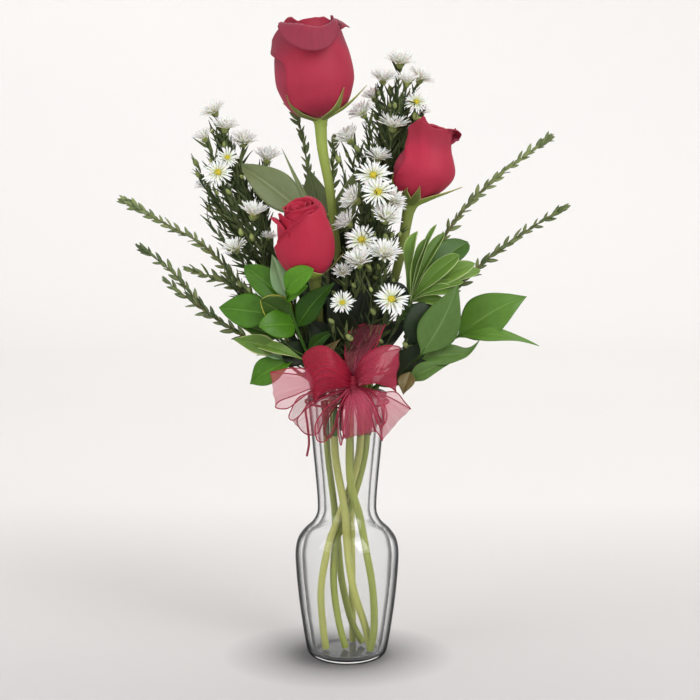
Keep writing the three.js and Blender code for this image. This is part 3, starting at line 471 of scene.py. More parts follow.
# Profile of the hip, radius and height from the foot of the petals.
HIP_PROFILE = [(4.3, -6), (4.7, -3.2), (5.6, -1.2), (7, 0.4), (5.6, 1.5), (2.4, 2)]
SEPAL_ROOT = (4.6, -1.6)
THORN_PLACES = (0.66, 0.74, 0.83)
CONTOUR_STEPS = 40
DEGREES_IN_RADIAN = 57.3


def along(table, t):
    """Reads a table of (place, value) rows at t, on a smooth curve through its rows."""
    last = len(table) - 1
    i = next((k for k in range(1, last) if t <= table[k][0]), last)
    (t0, v0), (t1, v1) = table[i - 1], table[i]
    before, after = table[max(0, i - 2)], table[min(last, i + 1)]
    leave = (v1 - before[1]) / (t1 - before[0]) * (t1 - t0)
    arrive = (after[1] - v0) / (after[0] - t0) * (t1 - t0)
    s = min(max((t - t0) / (t1 - t0), 0), 1)
    eased = 3 * s * s - 2 * s ** 3
    return v0 + (v1 - v0) * eased + (s ** 3 - 2 * s * s + s) * leave + (s ** 3 - s * s) * arrive


def activate(piece):
    """Selects one piece alone, for the operators that follow."""
    bpy.ops.object.select_all(action="DESELECT")
    piece.select_set(True)
    bpy.context.view_layer.objects.active = piece


def tubes(runs, resolution=2):
    """Round closed tubes along runs of (points in metres, radii in millimetres)."""
    bpy.ops.curve.primitive_bezier_curve_add(location=(0, 0, 0))
    piece = bpy.context.object
    line = piece.data
    line.splines.clear()
    line.dimensions = "3D"
    line.bevel_depth = MM
    line.bevel_resolution = resolution
    line.use_fill_caps = True
    for route, radii in runs:
        spline = line.splines.new("POLY")
        spline.points.add(len(route) - 1)
        for i, spot in enumerate(route):
            spline.points[i].co = (*spot, 1)
            spline.points[i].radius = along(radii, i / (len(route) - 1))
    bpy.ops.object.convert(target="MESH")
    bpy.ops.object.shade_smooth_by_angle(angle=radians(50))
    return bpy.context.object


def flat_grid(columns, rows):
    """A flat grid from -1 to 1 both ways, with a UV map over the whole of it."""
    bpy.ops.mesh.primitive_grid_add(x_subdivisions=columns, y_subdivisions=rows, size=2)
    return bpy.context.object


def bend(piece, surface):
    """Carries a flat grid onto surface(u, v), u from -1 to 1 and v from 0 to 1."""
    for vertex in piece.data.vertices:
        vertex.co = surface(vertex.co.x, (vertex.co.y + 1) / 2)
    bpy.ops.object.mode_set(mode="EDIT")
    bpy.ops.mesh.select_all(action="SELECT")
    bpy.ops.mesh.remove_doubles(threshold=0.02 * MM)
    bpy.ops.object.mode_set(mode="OBJECT")
    bpy.ops.object.shade_smooth()
    return piece


def thicken(piece, thickness, under=0):
    """Gives a bent sheet its thickness, its under side in the next material but `under`."""
    activate(piece)
    wall = piece.modifiers.new("thickness", "SOLIDIFY")
    wall.thickness = thickness * MM
    wall.offset = -1
    wall.material_offset = under
    bpy.ops.object.modifier_apply(modifier=wall.name)
    return piece


def joined(pieces):
    """Joins pieces into the first of them."""
    bpy.ops.object.select_all(action="DESELECT")
    for piece in pieces:
        piece.select_set(True)
    bpy.context.view_layer.objects.active = pieces[0]
    bpy.ops.object.join()
    return pieces[0]


def set_tone(piece, value):
    """Gives a piece one value of the attribute by which its finish varies."""
    data = piece.data
    tone = data.attributes.get("tone") or data.attributes.new("tone", "FLOAT", "POINT")
    tone.data.foreach_set("value", [value] * len(data.vertices))


def toned(tree, dark, light):
    """A colour between two, read from a part's tone."""
    tone = node(tree, "Attribute", attribute_name="tone").outputs["Fac"]
    return blend(tree, tone, dark, light)


def bloom_axes(rose):
    """Foot, upward, frontward and rightward ways, height and sway of a bloom, in millimetres."""
    foot = Vector(rose["calyx"])
    up = Vector(rose["crown"]) - foot
    height = up.length
    up.normalize()
    front = (Vector((0, -1, 0)) + up * up.y).normalized()
    return foot, up, front, up.cross(front), height, rose.get("sway", 0)


def on_bloom(axes, azimuth, radius, height):
    """The point of a bloom at an azimuth in degrees, a radius and a height."""
    foot, up, front, right, tall, sway = axes
    turn = radians(azimuth)
    aside = sway * sin(pi * min(max((height / tall - 0.15) / 0.85, 0), 1))
    spot = foot + up * height + front * (radius * cos(turn)) + right * (radius * sin(turn) + aside)
    return spot * MM


def contour(rose, height, reach):
    """Radius and height on the side of a bloom, `reach` millimetres up from its hip."""
    shares = [k / CONTOUR_STEPS for k in range(CONTOUR_STEPS + 1)]
    rows = [(rose["radius"] * along(rose["profile"], share), height * share) for share in shares]
    rows.insert(0, SEPAL_ROOT)
    for (r0, z0), (r1, z1) in zip(rows, rows[1:]):
        step = hypot(r1 - r0, z1 - z0)
        if reach <= step:
            return r0 + (r1 - r0) * reach / step, z0 + (z1 - z0) * reach / step
        reach -= step
    return rows[-1]


SEPAL_OUTLINE = [(0, 0.75), (0.12, 1), (0.3, 0.95), (0.55, 0.62), (0.8, 0.28), (1, 0.05)]
SEPAL_HALF_WIDTH = 3.2


def sepal(axes, rose, azimuth, length, flare, breadth, lean=6):
    """One sepal: a narrow blade from the hip up the petals, curling away at its tip."""
    def surface(u, v):
        r, rise = contour(rose, axes[4], v * length)
        spread = SEPAL_HALF_WIDTH * breadth * along(SEPAL_OUTLINE, v) * u
        wave = 0.5 * sin(7 * v + azimuth) * v + 0.9 * (1 - v) * u * u
        r += 0.9 + 0.5 * v + flare * v ** 2.2 - wave
        rise -= 0.18 * flare * v ** 3
        aside = DEGREES_IN_RADIAN * spread / max(r, 6) + lean * v * v
        return on_bloom(axes, azimuth + aside, r, rise)

    return thicken(bend(flat_grid(columns=6, rows=24), surface), 0.5, under=1)


def thorn(spot, out, size):
    """A small curved thorn that stands out of a stem at a point."""
    top = Vector((0, 0, 1))
    route = [spot, spot + out * 2 * size * MM, spot + (out * 3.6 - top * 1.1) * size * MM]
    return route, [(0, 1.1 * size), (0.5, 0.6 * size), (1, 0.05)]


green, tree, shader = material("rose_stem_green", Roughness=0.45, Specular_IOR_Level=0.3)
spot = on_object(tree)
height = axis(tree, spot, 2)
streaks = cloudy(tree, stretched(tree, spot, (420, 420, 26)), 1.0, 3.0)
cloud = cloudy(tree, spot, 24.0)
by_height = ramp(
    tree, calc(tree, "DIVIDE", height, 0.4), (0.0, "b2b65e"), (0.4, "b6b664"), (0.5, "7a8238"),
    (0.62, "5c6a2c"), (0.8, "748a34"), (0.9, "8aa43e"), (1.0, "86a048"),
)
mottled = blend(tree, calc(tree, "MULTIPLY", cloud, 0.3), by_height, "6f6230")
streaked = blend(tree, calc(tree, "MULTIPLY", streaks, 0.35), mottled, "b4b878")
feed(shader, "Base Color", streaked)
emboss(shader, streaks, strength=0.3, depth=0.0003)


def on_blade(tree):
    """On a blade's own UV map: the place, how far it is from the midrib, and how far up."""
    coordinates = node(tree, "UVMap").outputs[0]
    side = calc(tree, "ABSOLUTE", calc(tree, "SUBTRACT", axis(tree, coordinates, 0), 0.5))
    return coordinates, side, axis(tree, coordinates, 1)


def sepal_finish(name, face, light, rim):
    """Downy green by tone with pale thin margins, read across the sepal's own UV map."""
    made, tree, shader = material(name, Roughness=0.6, Specular_IOR_Level=0.3)
    _, side, rise = on_blade(tree)
    down = cloudy(tree, on_object(tree), 900.0)
    edge = ramp(tree, side, (0.36, 0), (0.48, 1))
    body = blend(tree, calc(tree, "MULTIPLY", down, 0.3), toned(tree, face, light), rim)
    reddish = ramp(tree, rise, (0.75, 0), (1.0, 0.6))
    tipped = blend(tree, reddish, body, "9a5038")
    feed(shader, "Base Color", blend(tree, edge, tipped, rim))
    return made


sepal_face = sepal_finish("sepal_outside", "56652e", "7f9a30", "a8a468")
sepal_back = sepal_finish("sepal_inside", "7c8650", "96a84c", "b4b282")

for rose in ROSES:
    random.seed(rose["name"])
    axes = bloom_axes(rose)
    foot, up, front, right, *_ = axes
    route = smooth_route([*rose["route"], rose["calyx"]], STEM_STEPS)
    runs = [(route, STEM_RADII)]
    for share in THORN_PLACES:
        spot = route[int(share * STEM_STEPS)]
        out = Vector((random.uniform(-1, 1), random.uniform(-1, 0.6), 0)).normalized()
        runs.append(thorn(spot + out * 2.2 * MM, out, random.uniform(0.8, 1.2)))
    stalk = tubes(runs, resolution=5)
    hip = [(p.x, p.z) for p in smooth_route([(r, 0, z) for r, z in HIP_PROFILE], 16)]
    hip = close_ends(turned(24, hip))
    stand = Matrix((right, -front, up)).transposed().to_4x4()
    stand.translation = foot * MM
    hip.data.transform(stand)
    for piece in (stalk, hip):
        piece.data.materials.append(green)
    sepals = []
    for row in rose["sepals"]:
        blade = sepal(axes, rose, *row)
        set_tone(blade, 1 if row[3] > 1.5 else 0.2)
        blade.data.materials.append(sepal_face)
        blade.data.materials.append(sepal_back)
        sepals.append(blade)
    place(joined([stalk, hip, *sepals]), rose["name"] + "_stalk", "stem", rose["name"] + "_stem")

# ---- Rose blooms -------------------------------------------------------------------
# Half-open crimson buds. Each is a tight spiral of broad thin petals: small ones shut
# round the heart, larger ones wrapped outside them with their lips curled back.
PETAL_THICKNESS = 0.45
PETAL_HALF = [(0, 0.3), (0.17, 0.66), (0.4, 0.86), (0.64, 1), (0.85, 0.98), (1, 0.86)]
PETAL_COLUMNS = 36
PETAL_ROWS = 46
LIP_ROLL = 2.6  # radius of the roll of a lip
EDGE_LIFT = 3  # how far the free edge of the front petal stands off the others
SLOPE_STEP = 0.01
INNER_PETALS = 8
GOLDEN_ANGLE = 137.508


def petal(axes, rose, row, halves):
    """One petal, wrapped round the bloom, its lip curled outwards on a round edge."""
    azimuth, half_angle, share, rim, (degrees, lip_length, lip_place, lip_spread), tone = row
    seed = random.uniform(0, 99)
    height = axes[4]
    radius = share * rose["radius"]
    stand_off = EDGE_LIFT if share == 1 else 0

    def surface(u, v):
        # The lip rolls over a small radius and runs straight on beyond the roll.
        fade = max(0, 1 - ((u - lip_place) / lip_spread) ** 2)
        bent = max(radians(degrees) * min(1, 5 * fade), 0.04)
        lip = 0.5 + lip_length * fade
        rolled = min(lip, LIP_ROLL * bent)
        bend_radius = rolled / bent
        rise = bend_radius if bent > pi / 2 else bend_radius * sin(bent) + (lip - rolled) * cos(bent)
        flutter = 0.6 * noise.noise(Vector((5 * u, 0.4, seed)))
        start = along(rim, u) * height + flutter - rise
        s = v * (start + lip)
        body = min(s, start)
        r = along(rose["profile"], body / height) * radius
        if s > start:
            below, above = (
                along(rose["profile"], body / height + step) for step in (-SLOPE_STEP, SLOPE_STEP)
            )
            tangent = Vector(((above - below) * radius, 2 * SLOPE_STEP * height)).normalized()
            turn = min(s - start, rolled) / bend_radius
            beyond = max(0, s - start - rolled)
            ahead = bend_radius * sin(turn) + beyond * cos(bent)
            outward = bend_radius * (1 - cos(turn)) + beyond * sin(bent)
            r += ahead * tangent.x + outward * tangent.y
            body += ahead * tangent.y - outward * tangent.x
        ripple = 0.45 * noise.noise(Vector((1.5 * u, 2.2 * v, seed)))
        edge_lift = stand_off * max(0, (-u - 0.72) / 0.28) ** 2 * min(1, 4 * v)
        spread = half_angle * along(halves[0 if u < 0 else 1], v) * u
        return on_bloom(axes, azimuth + spread, r + ripple * v + edge_lift, body)

    piece = thicken(bend(flat_grid(PETAL_COLUMNS, PETAL_ROWS), surface), PETAL_THICKNESS, under=1)
    # The tone is painted light and shade: low for petals that lie in shade under others, high for the lit
    # inner ones, and partly each rose's own red.
    set_tone(piece, tone * 0.6 + rose["tone"] * 0.4)
    return piece


def petal_finish(name, heart, dull, bright, lip):
    """Velvet red with fine lengthwise veins, deeper at the foot and mauve at the lip, with painted light
    and shade from the tone, which also pales the lip of lit petals.
    """
    made, tree, shader = material(
        name, Roughness=0.55, Specular_IOR_Level=0.22, Sheen_Weight=0.22, Sheen_Roughness=0.4,
        Sheen_Tint="d88a9c", Subsurface_Weight=0.06, Subsurface_Scale=1.5 * MM,
    )
    coordinates = node(tree, "UVMap").outputs[0]
    rise = axis(tree, coordinates, 1)
    veins = cloudy(tree, stretched(tree, coordinates, (46, 2.2, 1)), 1.0, 3.0)
    cloud = cloudy(tree, stretched(tree, coordinates, (3, 3, 1)), 1.0)
    # Painted light and shade: the face runs from dull to bright with the tone; the mauve lip is partly the
    # rim's own colour and partly painted shade, and fades on lit petals.
    face = toned(tree, dull, bright)
    foot_share = ramp(tree, rise, (0.0, 1), (0.2, 0))
    lip_share = ramp(tree, rise, (0.68, 0), (0.84, 0.9))
    tone = node(tree, "Attribute", attribute_name="tone").outputs["Fac"]
    lip_tone = ramp(tree, tone, (0.55, lip), (0.9, bright))
    body = blend(tree, lip_share, blend(tree, foot_share, face, heart), lip_tone)
    mottled = blend(tree, calc(tree, "MULTIPLY", cloud, 0.4), body, heart)
    veined = blend(tree, calc(tree, "MULTIPLY", veins, 0.24), mottled, "cc3c56")
    feed(shader, "Base Color", veined)
    emboss(shader, veins, strength=0.22, depth=0.0002)
    return made


petal_outside = petal_finish("petal_outside", "721a2c", "9c364c", "b4243e", "783242")
petal_inside = petal_finish("petal_inside", "5c1020", "8c2c42", "cc1e38", "7a3444")

for rose in ROSES:
    random.seed(rose["name"] + "_petals")
    axes = bloom_axes(rose)
    rows = list(rose["petals"])
    for k in range(INNER_PETALS):
        inward = k / (INNER_PETALS - 1)
        top = 0.99 - 0.03 * inward
        rim = [(-1, top - 0.08), (-0.5, top - 0.01), (0, top), (0.5, top - 0.01), (1, top - 0.06)]
        half_angle, share = 84 + 70 * inward, 0.8 - 0.56 * inward
        rows.append((GOLDEN_ANGLE * k + 20, half_angle, share, rim, (30, 3, 0, 1.3), 1))
    petals = [petal(axes, rose, rows[0], rose["front"])]
    petals += [petal(axes, rose, row, (PETAL_HALF, PETAL_HALF)) for row in rows[1:]]
    for piece in petals:
        piece.data.materials.append(petal_outside)
        piece.data.materials.append(petal_inside)
    place(joined(petals), rose["name"] + "_petals", "petal", rose["name"] + "_bloom")

# ---- Tie ---------------------------------------------------------------------------
# A thin two-ply crimson cord knotted round the neck just under the rim. It holds the
# bow, and its spare end hangs down the front of the glass at the left.
TIE_HEIGHT = 184
TIE_RADIUS = 0.9
TIE_RING_RADIUS = RIM_RADIUS + 0.15 + TIE_RADIUS
TIE_TWISTS = 58
TIE_STEPS = 480
PLY_RADIUS = 0.55 * TIE_RADIUS
PLY_REACH = 0.45 * TIE_RADIUS  # from the middle of the cord to the middle of a ply
END_RADIUS = 0.8
TIE_END = [(-27.5, -12, 184), (-28.5, -22, 181), (-27, -30, 172), (-26, -32, 160), (-27.5, -32, 151)]

tie_red, tree, shader = material("tie_crimson", Roughness=0.5, Sheen_Weight=0.3)
fibres = cloudy(tree, on_object(tree), 1400.0)
feed(shader, "Base Color", blend(tree, fibres, "6d1226", "a52a44"))

plies = []
for ply in (0, pi):
    route = []
    for k in range(TIE_STEPS + 1):
        around = 2 * pi * k / TIE_STEPS
        twist = TIE_TWISTS * around + ply
        r = TIE_RING_RADIUS + PLY_REACH * cos(twist)
        z = TIE_HEIGHT + PLY_REACH * sin(twist)
        route.append(Vector((r * sin(around), -r * cos(around), z)) * MM)
    plies.append((route, [(0, PLY_RADIUS), (1, PLY_RADIUS)]))
tie_ring = tubes(plies, resolution=1)
tie_ring.data.materials.append(tie_red)
place(tie_ring, "tie_ring", "ribbon", "bow_tie")

end_route = smooth_route(TIE_END, 32)
tie_end = tubes([(end_route, [(0, END_RADIUS), (1, END_RADIUS)])], resolution=3)
tie_end.data.materials.append(tie_red)
place(tie_end, "tie_end", "ribbon", "bow_tie")

# ---- Ribbon bow --------------------------------------------------------------------
# Loops of sheer crimson organza, a fine wire woven into each long edge. The ribbon is
# gathered by hand at the front of the rim, and a band of itself binds it to the tie.
KNOT = Vector((4, -37, 198))
RIBBON_THICKNESS = 0.16
WIRE_RADIUS = 0.38
LOOP_STEPS = 60
OUTWARD = 0.53  # share of a loop's length that runs out from the knot
PLEAT_DEPTH = 1.3
CREASE_DEPTH = 1.2
BAND_RADIUS = 5.5  # mean radius of the band that binds the knot
# Each loop: its two wired edges from the knot out and back, how far the middle of its
# outward half puffs from the straight line between them, and how dense its cloth looks.
LOOPS = [
    (
        [
            (3, -39, 208), (-3, -50, 220), (-11, -55, 228), (-17, -54, 230), (-25, -50, 227),
            (-30, -44, 221), (-27, -36, 220), (-16, -33, 216), (-4, -35, 210), (3, -38, 206),
        ],
        [
            (3, -39, 201), (-5, -48, 201), (-13, -53, 200), (-19, -52, 196), (-21, -48, 191),
            (-22, -44, 189), (-20, -37, 191), (-11, -34, 197), (-2, -35, 201), (3, -38, 203),
        ],
        (0, -7, 2), 1,
    ),
    (
        [
            (6, -39, 209), (11, -50, 222), (19, -54, 228), (27, -52, 230), (34, -49, 229),
            (36, -44, 227), (32, -37, 225), (22, -33, 222), (12, -34, 214), (7, -38, 208),
        ],
        [
            (5, -39, 201), (11, -49, 203), (19, -54, 205), (26, -53, 203), (32, -49, 200),
            (33, -45, 198), (29, -38, 200), (18, -34, 203), (10, -35, 203), (5, -38, 203),
        ],
        (4, -6, 0), 0.62,
    ),
    (
        [
            (3, -37, 207), (-1, -37, 218), (-1, -36, 228), (1, -34, 236), (8, -32, 241),
            (14, -30, 242), (12, -25, 237), (8, -25, 227), (6, -28, 217), (5, -35, 208),
        ],
        [
            (7, -39, 207), (11, -46, 215), (16, -48, 223), (21, -48, 232), (24, -46, 240),
            (26, -42, 243), (23, -35, 236), (16, -33, 225), (10, -34, 216), (6, -37, 208),
        ],
        (0, 5, 0), -0.3,
    ),
    (
        [
            (2, -37, 206), (-10, -43, 211), (-23, -46, 213), (-37, -46, 214), (-46, -44, 212),
            (-52, -40, 210), (-45, -34, 209), (-29, -31, 207), (-12, -32, 206), (1, -36, 204),
        ],
        [
            (2, -38, 201), (-10, -44, 201), (-23, -48, 199), (-32, -50, 193), (-40, -49, 187),
            (-48, -45, 187), (-46, -38, 190), (-37, -34, 193), (-24, -32, 198), (-10, -33, 201),
            (1, -36, 202),
        ],
        (0, -3, 0), 0.1,
    ),
    (
        [
            (1, -40, 200), (-11, -47, 199), (-23, -50, 198), (-32, -51, 195), (-37, -51, 187),
            (-39, -50, 181), (-37, -50, 179), (-32, -50, 182), (-26, -50, 190), (-19, -48, 193),
            (-9, -44, 197), (1, -40, 198),
        ],
        [
            (1, -36, 198), (-11, -36, 194), (-22, -35, 188), (-30, -34, 182), (-34, -33, 176),
            (-32, -32, 170), (-27, -32, 166), (-20, -32, 167), (-16, -33, 176), (-9, -34, 186),
            (-3, -35, 193), (1, -36, 197),
        ],
        (-2, 0, -2), 0.15,
    ),
    (
        [
            (1, -42, 199), (-5, -48, 194), (-12, -51, 190), (-17, -52, 184), (-21, -53, 177),
            (-21, -53, 170), (-19, -52, 165), (-15, -52, 165), (-11, -52, 170), (-8, -51, 177),
            (-6, -49, 185), (-1, -45, 193), (1, -42, 198),
        ],
        [
            (2, -38, 198), (-3, -37, 191), (-9, -36, 184), (-13, -35, 177), (-15, -35, 170),
            (-14, -34, 165), (-12, -34, 164), (-8, -34, 170), (-6, -35, 177), (-4, -36, 184),
            (-1, -37, 192), (2, -38, 197),
        ],
        (-2, 0, -1), 0.2,
    ),
    (
        [
            (2, -43, 199), (-3, -50, 192), (-6, -52, 184), (-6, -53, 174), (-5, -53, 166),
            (-4, -52, 162), (-3, -52, 166), (-2, -51, 174), (-1, -49, 184), (1, -46, 192),
            (3, -42, 198),
        ],
        [
            (3, -38, 197), (-1, -37, 190), (-4, -36, 181), (-5, -35, 173), (-4, -35, 166),
            (-3, -34, 163), (-1, -34, 167), (0, -35, 174), (1, -36, 182), (2, -37, 191),
            (3, -38, 197),
        ],
        (0, 0, 0), 0.4,
    ),
    (
        [
            (3, -43, 199), (-1, -50, 192), (-3, -53, 183), (-3, -53, 173), (-1, -50, 167),
            (1, -44, 167), (2, -40, 175), (3, -38, 185), (3, -38, 196),
        ],
        [
            (5, -42, 200), (10, -49, 194), (15, -52, 186), (18, -51, 177), (19, -48, 171),
            (18, -43, 173), (14, -39, 182), (10, -38, 191), (5, -38, 198),
        ],
        (0, -3, 0), 0.15,
    ),
    (
        [
            (3, -44, 201), (4, -50, 193), (6, -53, 184), (8, -52, 176), (10, -48, 169),
            (10, -44, 172), (8, -42, 182), (5, -40, 191), (4, -40, 198),
        ],
        [
            (6, -43, 201), (12, -50, 198), (17, -53, 192), (21, -52, 184), (23, -48, 178),
            (21, -43, 181), (16, -40, 188), (11, -39, 195), (6, -39, 199),
        ],
        (0, -4, 0), 0.15,
    ),
    (
        [
            (6, -42, 201), (13, -48, 199), (16, -51, 194), (18, -52, 186), (20, -53, 179),
            (23, -52, 175), (25, -52, 177), (24, -51, 184), (22, -50, 192), (18, -48, 197),
            (12, -45, 200), (6, -42, 201),
        ],
        [
            (6, -38, 199), (14, -37, 195), (18, -36, 189), (20, -35, 183), (23, -35, 177),
            (26, -34, 174), (27, -34, 177), (27, -35, 183), (24, -36, 189), (20, -36, 193),
            (13, -37, 198), (6, -38, 200),
        ],
        (1, 0, -1), 0.2,
    ),
    (
        [
            (6, -39, 201), (14, -45, 200), (24, -48, 198), (33, -49, 198), (39, -48, 191),
            (43, -45, 186), (38, -39, 188), (28, -36, 193), (15, -35, 197), (6, -38, 200),
        ],
        [
            (5, -39, 199), (10, -43, 192), (14, -46, 184), (18, -47, 174), (22, -47, 168),
            (24, -44, 164), (23, -38, 170), (18, -35, 182), (11, -35, 191), (5, -38, 198),
        ],
        (1, -3, 0), 0.12,
    ),
]


def ribbon_loop(first, second, puff):
    """The middle surface of one loop, between its two edges, gathered at the knot."""
    first, second = smooth_route(first, LOOP_STEPS), smooth_route(second, LOOP_STEPS)
    puff = Vector(puff)
    seed = random.uniform(0, 99)

    def surface(u, v):
        k = round(v * LOOP_STEPS)
        across = second[k] - first[k]
        ahead = first[min(k + 1, LOOP_STEPS)] - first[max(k - 1, 0)]
        out = across.cross(ahead).normalized()
        gather = (1 - sin(pi * v)) ** 3
        fold = PLEAT_DEPTH * gather * sin(5 * pi * u + 6 * v + seed)
        wave = noise.noise(Vector((2.6 * u, 4 * v, seed)))
        crease = CREASE_DEPTH * sin(pi * v) * wave * (1 - u ** 4)
        crown = 1 - u * u
        swell = puff * crown * sin(pi * min(1, 1.9 * v)) ** 2 * (1 if v < OUTWARD else 0)
        slack = puff * (-0.35 * crown * sin(pi * v) ** 2 * (1 if v > OUTWARD else 0))
        return first[k] + across * (u + 1) / 2 + out * (fold + crease) * MM + (swell + slack) * MM

    return surface


organza, tree, shader = material(
    "organza", Roughness=0.4, Sheen_Weight=0.1, Sheen_Roughness=0.35,
    Sheen_Tint="e07088", Specular_IOR_Level=0.3,
)
coordinates = node(tree, "UVMap").outputs[0]
across, out = axis(tree, coordinates, 0), axis(tree, coordinates, 1)
density = node(tree, "Attribute", attribute_name="tone").outputs["Fac"]
warp = calc(tree, "SINE", calc(tree, "MULTIPLY", across, 2 * pi * 64))
weft = calc(tree, "SINE", calc(tree, "MULTIPLY", out, 2 * pi * 190))
weave = calc(tree, "MULTIPLY", warp, weft)
folds = cloudy(tree, stretched(tree, coordinates, (7, 1.6, 1)), 1.5)
from_fold = calc(tree, "ABSOLUTE", calc(tree, "SUBTRACT", out, 0.5))
gathered = calc(tree, "POWER", calc(tree, "MULTIPLY", from_fold, 2.0), 3.0)
cover = calc(tree, "MULTIPLY_ADD", density, 0.42, 0.19)
cover = calc(tree, "MULTIPLY_ADD", gathered, 0.3, cover)
cover = calc(tree, "MULTIPLY_ADD", calc(tree, "SUBTRACT", folds, 0.5), 0.22, cover)
cover = calc(tree, "MULTIPLY_ADD", weave, 0.03, cover)
feed(shader, "Alpha", calc(tree, "MINIMUM", cover, 0.92))
sheer = blend(tree, folds, "c44c66", "d8647e")
dense = blend(tree, folds, "9e1c36", "b42844")
feed(shader, "Base Color", blend(tree, density, sheer, dense))
emboss(shader, weave, strength=0.2, depth=0.0001)

wired_edge, tree, shader = material("ribbon_edge", Roughness=0.45, Specular_IOR_Level=0.3)
fibres = cloudy(tree, on_object(tree), 900.0)
feed(shader, "Base Color", blend(tree, fibres, "74122a", "ac2c46"))

# Sight passes through many sheer layers where loops lie behind one another.
bpy.context.scene.cycles.transparent_max_bounces = 48
random.seed("bow")
loops, wires, ribbon_length = [], [], 0
for first, second, puff, density in LOOPS:
    surface = ribbon_loop(first, second, puff)
    loop = thicken(bend(flat_grid(columns=20, rows=LOOP_STEPS), surface), RIBBON_THICKNESS)
    loop.data.materials.append(organza)
    set_tone(loop, density)
    loops.append(loop)
    left, middle, right = (
        [surface(u, k / LOOP_STEPS) for k in range(LOOP_STEPS + 1)] for u in (-1, 0, 1)
    )
    ribbon_length += sum((b - a).length for a, b in zip(middle, middle[1:]))
    for edge_route in (left, right):
        wires.append((edge_route, [(0, 0.24), (0.15, WIRE_RADIUS), (0.85, WIRE_RADIUS), (1, 0.24)]))
wires = tubes(wires, resolution=1)
wires.data.materials.append(wired_edge)


def knot_surface(u, v):
    """The binding band, wrapped round the gathered loops and creased along its length."""
    turn = 2 * pi * v
    crease = 0.5 * sin(6 * pi * u) + 0.5 * noise.noise(Vector((3 * u, 6 * v, 4)))
    deep = 6.2 - 1.2 * u * u + crease
    return (KNOT + Vector(((4.4 - u * u + 0.5 * crease) * cos(turn), deep * sin(turn), 10 * u))) * MM


knot = thicken(bend(flat_grid(columns=18, rows=40), knot_surface), RIBBON_THICKNESS)
knot.data.materials.append(organza)
set_tone(knot, 1)
ribbon_length += 2 * pi * BAND_RADIUS * MM
bow = place(joined([*loops, knot]), "bow_ribbon", "ribbon", "ribbon_bow")
place(wires, "bow_edge_wires", "ribbon", "ribbon_bow")

# ---- Asters ------------------------------------------------------------------------
# Three sprays of white cut asters. Each flower has three rings of narrow white rays
# round a yellow disc, and a green cup; thin stalks and narrow leaves fill the spray.
HEAD_RADIUS = 9
HEAD_HEEL = 1.2
BRACTS = 14
SIDE_TWIGS = 4  # thin twigs beside each flower
BUD_SHARE = 0.6  # of the twigs end in a bud
UP_LEFT = (-0.4, -0.3, 0.9)
UPWARD = (0.1, -0.3, 1)
FORWARD = (0, -0.8, 0.55)
# Each flower: x, y, z of its centre, the way it faces, share of the full size.
SPRAYS = [
    {
        "name": "aster_left", "leaves_from": 0.56,
        "route": [
            (11.5, 11, 6), (4, 10.7, 20), (-3.5, 9.9, 50), (-7, 9, 80), (-9.5, 7.8, 106),
            (-14.5, 6.3, 147), (-17, 6, 190), (-30, 5, 228), (-48, 4, 275), (-66, 4, 320),
            (-80, 5, 352),
        ],
        "flowers": [
            (-92, 12, 385, UP_LEFT, 1), (-84, 2, 374, UPWARD, 1), (-98, -2, 367, UP_LEFT, 0.9),
            (-72, 10, 364, UPWARD, 1.05), (-82, -5, 354, FORWARD, 0.85),
            (-56, 16, 352, UPWARD, 1.1), (-88, -12, 344, FORWARD, 1.1),
            (-98, 12, 334, UP_LEFT, 0.85), (-64, -14, 315, UPWARD, 1.15),
            (-76, -18, 292, UP_LEFT, 0.95), (-54, -8, 299, UPWARD, 0.6),
        ],
    },
    {
        "name": "aster_right", "leaves_from": 0.56,
        "route": [
            (-1, 0, 5.5), (-5, 0.5, 20), (-9.5, 1.5, 50), (-8, 2.5, 80), (1.4, 3.5, 106),
            (8, 4.5, 125), (13.5, 6, 147), (16, 9, 190), (20, 14, 250), (24, 18, 310),
            (31, 17, 360), (35, 18, 392),
        ],
        "flowers": [
            (37, 20, 419, UPWARD, 1.1), (25, 14, 407, UPWARD, 1), (41, 5, 405, UPWARD, 0.95),
            (51, 22, 408, (0.5, -0.2, 0.9), 1), (48, 9, 392, FORWARD, 0.95),
            (19, 20, 395, (-0.4, -0.2, 0.9), 0.9), (11, 14, 384, (-0.5, -0.3, 0.8), 1),
            (32, 8, 375, UPWARD, 1.15), (2, 14, 366, (-0.5, -0.3, 0.8), 1.1),
            (22, 6, 353, UPWARD, 0.95), (50, 28, 384, UPWARD, 0.9),
        ],
    },
    {
        "name": "aster_centre", "leaves_from": 0.6,
        "route": [
            (16, -7.6, 5.5), (18.6, -8, 20), (18, -8.3, 50), (13, -8.5, 80), (7.8, -8.5, 106),
            (2.8, -8.6, 125), (1.4, -8.7, 147), (4, -10, 190), (9, -18, 235), (13, -20, 275),
            (17, -12, 318),
        ],
        "flowers": [
            (18, -14, 342, FORWARD, 1.25), (21, -27, 331, FORWARD, 1.2),
            (6, -15, 325, (-0.8, -0.4, 0.5), 1.15), (30, -17, 325, (0.7, -0.4, 0.6), 1.05),
            (26, -28, 313, (0.3, -0.5, 0.8), 1.15), (1, -19, 309, (-0.6, -0.4, 0.6), 1.05),
            (10, -32, 299, FORWARD, 1.2), (25, -36, 289, (0.1, -0.6, 0.8), 1.2),
            (8, -40, 284, (-0.1, -0.6, 0.8), 1.15), (-3, -36, 277, (-0.1, -0.6, 0.8), 0.7),
            (30, -43, 260, FORWARD, 1.2), (-3, -46, 258, FORWARD, 0.9),
        ],
    },
]


def growing(root, way, face, scale=1.0):
    """The place of a small part that grows from a root in metres along a way."""
    way = way.normalized()
    side = way.cross(face).normalized()
    stand = (Matrix((side, way, side.cross(way))).transposed() * scale).to_4x4()
    stand.translation = root
    return stand


def copy_at(master, stand, tone=0.5):
    """A copy of a part with its own mesh, set in place, with a tone of its own."""
    piece = master.copy()
    piece.data = master.data.copy()
    piece.data.transform(stand)
    set_tone(piece, tone)
    bpy.context.collection.objects.link(piece)
    return piece


